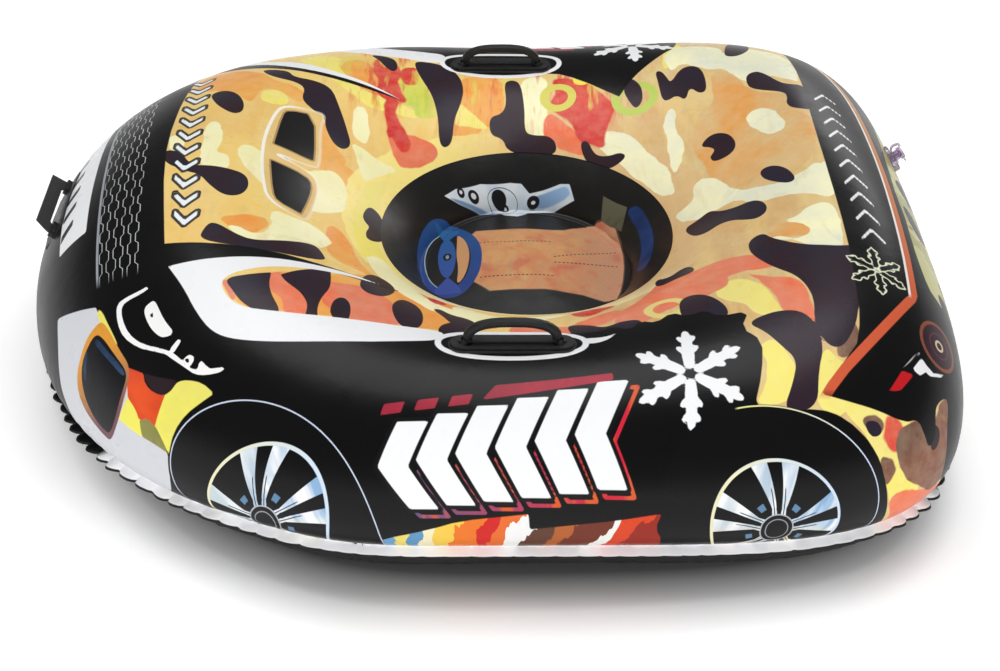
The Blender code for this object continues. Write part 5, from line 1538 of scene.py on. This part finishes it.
def well_material(name, roughness, specular):
    """Black film printed with a plain dashboard, a steering wheel and a stitched seat."""
    paint = Print(name, 0.0003)
    at = paint.at
    along = paint.along
    across = paint.across
    wash = paint.step(paint.noise(24, 3, 0.55, at, distortion=0.8), 0.36, 0.66)
    grey = paint.step(paint.noise(38, 4, 0.7, at), 0.5, 0.72)
    paint.colour = paint.mix(paint.step(grey, 0, 1), srgb(24, 23, 23), srgb(30, 29, 28))
    cloth = paint.mix(wash, srgb(222, 166, 108), srgb(216, 138, 92))
    cloth = paint.mix(paint.step(along, 0.10, 0.16), cloth, srgb(210, 150, 116))
    cloth = paint.mix(paint.step(grey, 0, 1, 0, 0.55), cloth, srgb(182, 152, 120))
    cloth = paint.mix(paint.step(paint.noise(30, 2, 0.5, at), 0.54, 0.68, 0, 0.6), cloth, srgb(206, 92, 78))
    cloth = paint.mix(paint.step(paint.noise(420, 1, 0.5, at), 0.3, 0.7, 0, 0.12), cloth, srgb(236, 200, 160))
    paint.layer("seat", cloth, soft=0.0006)
    paint.over(paint.near(paint.value("seat"), 0.0011, 0.0005), srgb(96, 74, 60))

    dashes = paint.math("FRACT", paint.times(along, STITCHES))
    dashes = paint.times(paint.step(dashes, 0.36, 0.42), paint.step(dashes, 0.98, 0.92))
    left = paint.times(paint.step(along, -0.004, -0.003), paint.step(along, 0.092, 0.091))
    right = paint.times(paint.step(along, 0.089, 0.090), paint.step(along, 0.174, 0.173))
    slope = paint.times(paint.minus(along, 0.09), 0.34)
    for place, lean, part in SEAMS:
        extent = left if part == "left" else right
        seam = paint.plus(paint.times(slope, lean), place) if lean else place
        thread = paint.near(paint.minus(across, seam), 0.0012, 0.0006)
        paint.over(paint.times(thread, extent, dashes), THREAD)

    paint.layer("patch", paint.mix(grey, srgb(96, 94, 76), srgb(70, 68, 56)))
    paint.layer("side_arc", paint.mix(wash, srgb(24, 44, 88), srgb(34, 62, 120)), soft=0.0008)
    blue = paint.mix(paint.step(across, -0.07, 0.10), srgb(40, 66, 140), srgb(34, 84, 146))
    paint.layer("wheel_outer", blue)
    paint.layer("wheel_inner", srgb(26, 27, 30))
    paint.layer("wheel_open", srgb(216, 160, 112))
    rim_line = paint.near(paint.value("wheel_inner"), 0.0009, 0.0004)
    paint.over(paint.times(rim_line, paint.step(along, -0.046, -0.056)), srgb(170, 190, 190))
    blue = paint.mix(paint.step(across, -0.05, 0.09), srgb(58, 80, 164), srgb(44, 104, 160))
    paint.layer("wheel_hub", blue)
    paint.layer("wheel_cap", srgb(24, 26, 32))
    paint.over(paint.step(paint.value("wheel_cap"), 0.003, 0.0034), srgb(150, 156, 168))
    metal = paint.step(paint.noise(40, 2, 0.5, at), 0.4, 0.6)
    metal = paint.mix(metal, srgb(226, 234, 240), srgb(206, 220, 234))
    paint.layer("dash", srgb(24, 26, 32), inset=-0.0012)
    paint.layer("dash", metal)
    blue = paint.mix(paint.step(along, 0.06, 0.12), srgb(120, 150, 190), srgb(150, 188, 226))
    paint.layer("dash_blue", blue, soft=0.0008)
    paint.over(paint.near(paint.value("dash_ring"), 0.0006, 0.0002), srgb(60, 66, 76))
    paint.layer("dash_black", srgb(22, 22, 26))
    paint.layer("dash_dot", srgb(224, 230, 236))

    height = paint.plus(paint.noise(30, 3, 0.5), paint.times(paint.noise(800, 2, 0.5), 0.03))
    normal = paint.bump(height, 0.0016, 0.5)
    rough = paint.step(paint.noise(18, 3, 0.6), 0.3, 0.7, roughness, roughness + 0.08)
    return paint.plastic(paint.colour, rough, normal, Specular_IOR_Level=specular)


WALL_COLUMNS = 480
WALL_ROWS = 64
WALL_WAVE = 0.0010
# Creases down the wall: where in degrees, how wide in degrees
CREASES = ((30, 3.2), (-34, 3.0), (148, 3.4), (205, 3.0), (84, 4.5), (-80, 4.0))
CREASE_DEPTH = 0.0016
LAP = 0.0009
FLOOR_ROWS = 70
FLOOR_FLAT = 0.0084     # the width of the floor's flat rim
FLOOR_WAVE = 0.0012


def make_wall():
    """The well's black wall with its lap on the floor."""
    angle = np.arange(WALL_COLUMNS) / WALL_COLUMNS * 2 * math.pi
    turn = np.stack([np.cos(angle), np.sin(angle)], -1)
    drop = WELL_RADIUS - FLOOR_RADIUS
    bend_z = RIM_Z - WALL_BEND_SHARE * drop * math.tan(RIM_SLOPE)
    start = np.array([[0.0006, RIM_Z - 0.0008]])
    bend = np.array([[-WALL_BEND_SHARE * drop, bend_z]])
    curve = respaced(bezier(start, bend, np.array([[-drop, FLOOR_Z]]), WALL_ROWS), WALL_ROWS)[0]
    under = np.array([[0.0035, RIM_Z + 0.0012], [0.0015, RIM_Z - 0.0002]])
    lap = np.array([[-drop - 0.003, FLOOR_Z], [-drop - 0.0072, FLOOR_Z], [-drop - 0.0082, FLOOR_Z - 0.0002],
                    [-drop - 0.0086, FLOOR_Z - LAP], [-drop - 0.0087, FLOOR_Z - 0.0012]])
    section = np.concatenate([under, curve, lap])
    radius = WELL_RADIUS + section[:, 0]
    rows = len(section)
    share = np.clip((np.arange(rows) - 2) / (WALL_ROWS - 1), 0, 1)
    low = WALL_WAVE * waves(31, angle, (4, 7, 11))[:, None] * np.sin(math.pi * share) ** 2
    creases = 0
    for where, width in CREASES:
        away = turned_away(angle, math.radians(where)) / math.radians(width)
        depth = CREASE_DEPTH * np.exp(-away ** 2)[:, None]
        creases = creases + depth * np.clip((share - 0.45) / 0.5, 0, 1) ** 1.5
    spot = radius[None] + low - creases * (share < 0.995)
    points = np.empty((WALL_COLUMNS, rows, 3))
    points[..., 0] = WELL_X + turn[:, :1] * spot
    points[..., 1] = turn[:, 1:] * spot
    points[..., 2] = section[:, 1][None] + 0 * spot
    wall = make_mesh("well_film", points, None, *well_print(points), wrap=True)
    wall.data.materials.append(well_material("wall_pvc", 0.30, 0.35))
    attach(wall, "tube")
    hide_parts("well_wall")


def make_seat_floor():
    """The domed printed floor of the well."""
    angle = np.arange(WALL_COLUMNS) / WALL_COLUMNS * 2 * math.pi
    turn = np.stack([np.cos(angle), np.sin(angle)], -1)
    radius = np.linspace(FLOOR_RADIUS - 0.0012, 0.0004, FLOOR_ROWS)
    flat = FLOOR_RADIUS - FLOOR_FLAT
    height = FLOOR_Z - 0.0011 + FLOOR_DOME * np.clip(1 - (radius / flat) ** 2, 0, 1) ** DOME_POWER
    wave = waves(41, angle, (3, 5, 9))[:, None] * np.sin(math.pi * np.clip(radius / flat, 0, 1))[None] ** 2
    points = np.empty((WALL_COLUMNS, FLOOR_ROWS, 3))
    points[..., 0] = WELL_X + turn[:, :1] * radius[None]
    points[..., 1] = turn[:, 1:] * radius[None]
    points[..., 2] = height[None] + wave * FLOOR_WAVE
    floor = make_mesh("seat_print", points, None, *well_print(points), wrap=True)
    floor.data.materials.append(well_material("printed_pvc_floor", 0.34, 0.3))
    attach(floor, "tube")
    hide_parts("seat_floor")


def dress(name, material):
    """Gives a CAD node this material and no other."""
    mesh = nodes[name].data
    mesh.materials.clear()
    mesh.materials.append(material)


def moulded_material():
    """Satin black moulded soft PVC, slightly grained and scuffed."""
    paint = Graph("moulded_pvc")
    grain = paint.noise(1500, 2, 0.6)
    cloud = paint.noise(120, 3, 0.6)
    colour = paint.mix(paint.step(cloud, 0.35, 0.65), srgb(24, 24, 25), srgb(32, 32, 33))
    height = paint.plus(grain, paint.times(cloud, 0.8))
    normal = paint.bump(height, 0.0003, 0.5)
    roughness = paint.step(cloud, 0.3, 0.7, 0.38, 0.5)
    return paint.plastic(colour, roughness, normal, Specular_IOR_Level=0.4)


RIB_PITCH = 0.0016
WEAVE_PITCH = 0.0011


def webbing_material():
    """Black polyester webbing: ribs across, a finer weave along, with painted shade in the weave's hollows
    and its raised threads lighter.
    """
    paint = Graph("webbing")
    _, across, up = paint.split(paint.object_place())
    ribs = paint.math("SINE", paint.times(across, 2 * math.pi / RIB_PITCH))
    threads = paint.math("SINE", paint.times(up, 2 * math.pi / WEAVE_PITCH))
    fuzz = paint.noise(1400, 2, 0.6)
    height = paint.plus(paint.times(ribs, threads), paint.times(fuzz, 1.2))
    # painted shade: the colour follows the weave's height, darker in its hollows and lighter on its raised
    # threads
    colour = paint.mix(paint.step(height, -0.6, 1.4), srgb(14, 14, 15), srgb(40, 40, 42))
    normal = paint.bump(height, 0.0004, 0.7)
    return paint.plastic(colour, 0.72, normal, Specular_IOR_Level=0.3, Sheen_Weight=0.25)


def clear_material():
    """Clear soft PVC with a faint purple tint and small bubbles of unevenness."""
    paint = Graph("clear_pvc")
    cloud = paint.noise(160, 3, 0.6)
    colour = paint.mix(paint.step(cloud, 0.35, 0.65), srgb(196, 178, 208), srgb(222, 208, 226))
    normal = paint.bump(cloud, 0.0006, 0.5)
    roughness = paint.step(cloud, 0.3, 0.7, 0.08, 0.16)
    return paint.plastic(colour, roughness, normal, Specular_IOR_Level=0.5, Transmission_Weight=0.82, IOR=1.5)


moulded = moulded_material()
for side in ("near", "far"):
    for kind in ("handle_patch", "handle_cover", "handle_grip", "tow_anchor"):
        dress(f"{kind}_{side}", moulded)
dress("tow_patch", moulded)
dress("tow_strap", webbing_material())
clear = clear_material()
for name in ("valve_flange", "valve_stem", "valve_plug", "valve_tether", "valve_flap"):
    dress(name, clear)
make_base()
make_wall()
make_seat_floor()
make_floor()
make_skin()
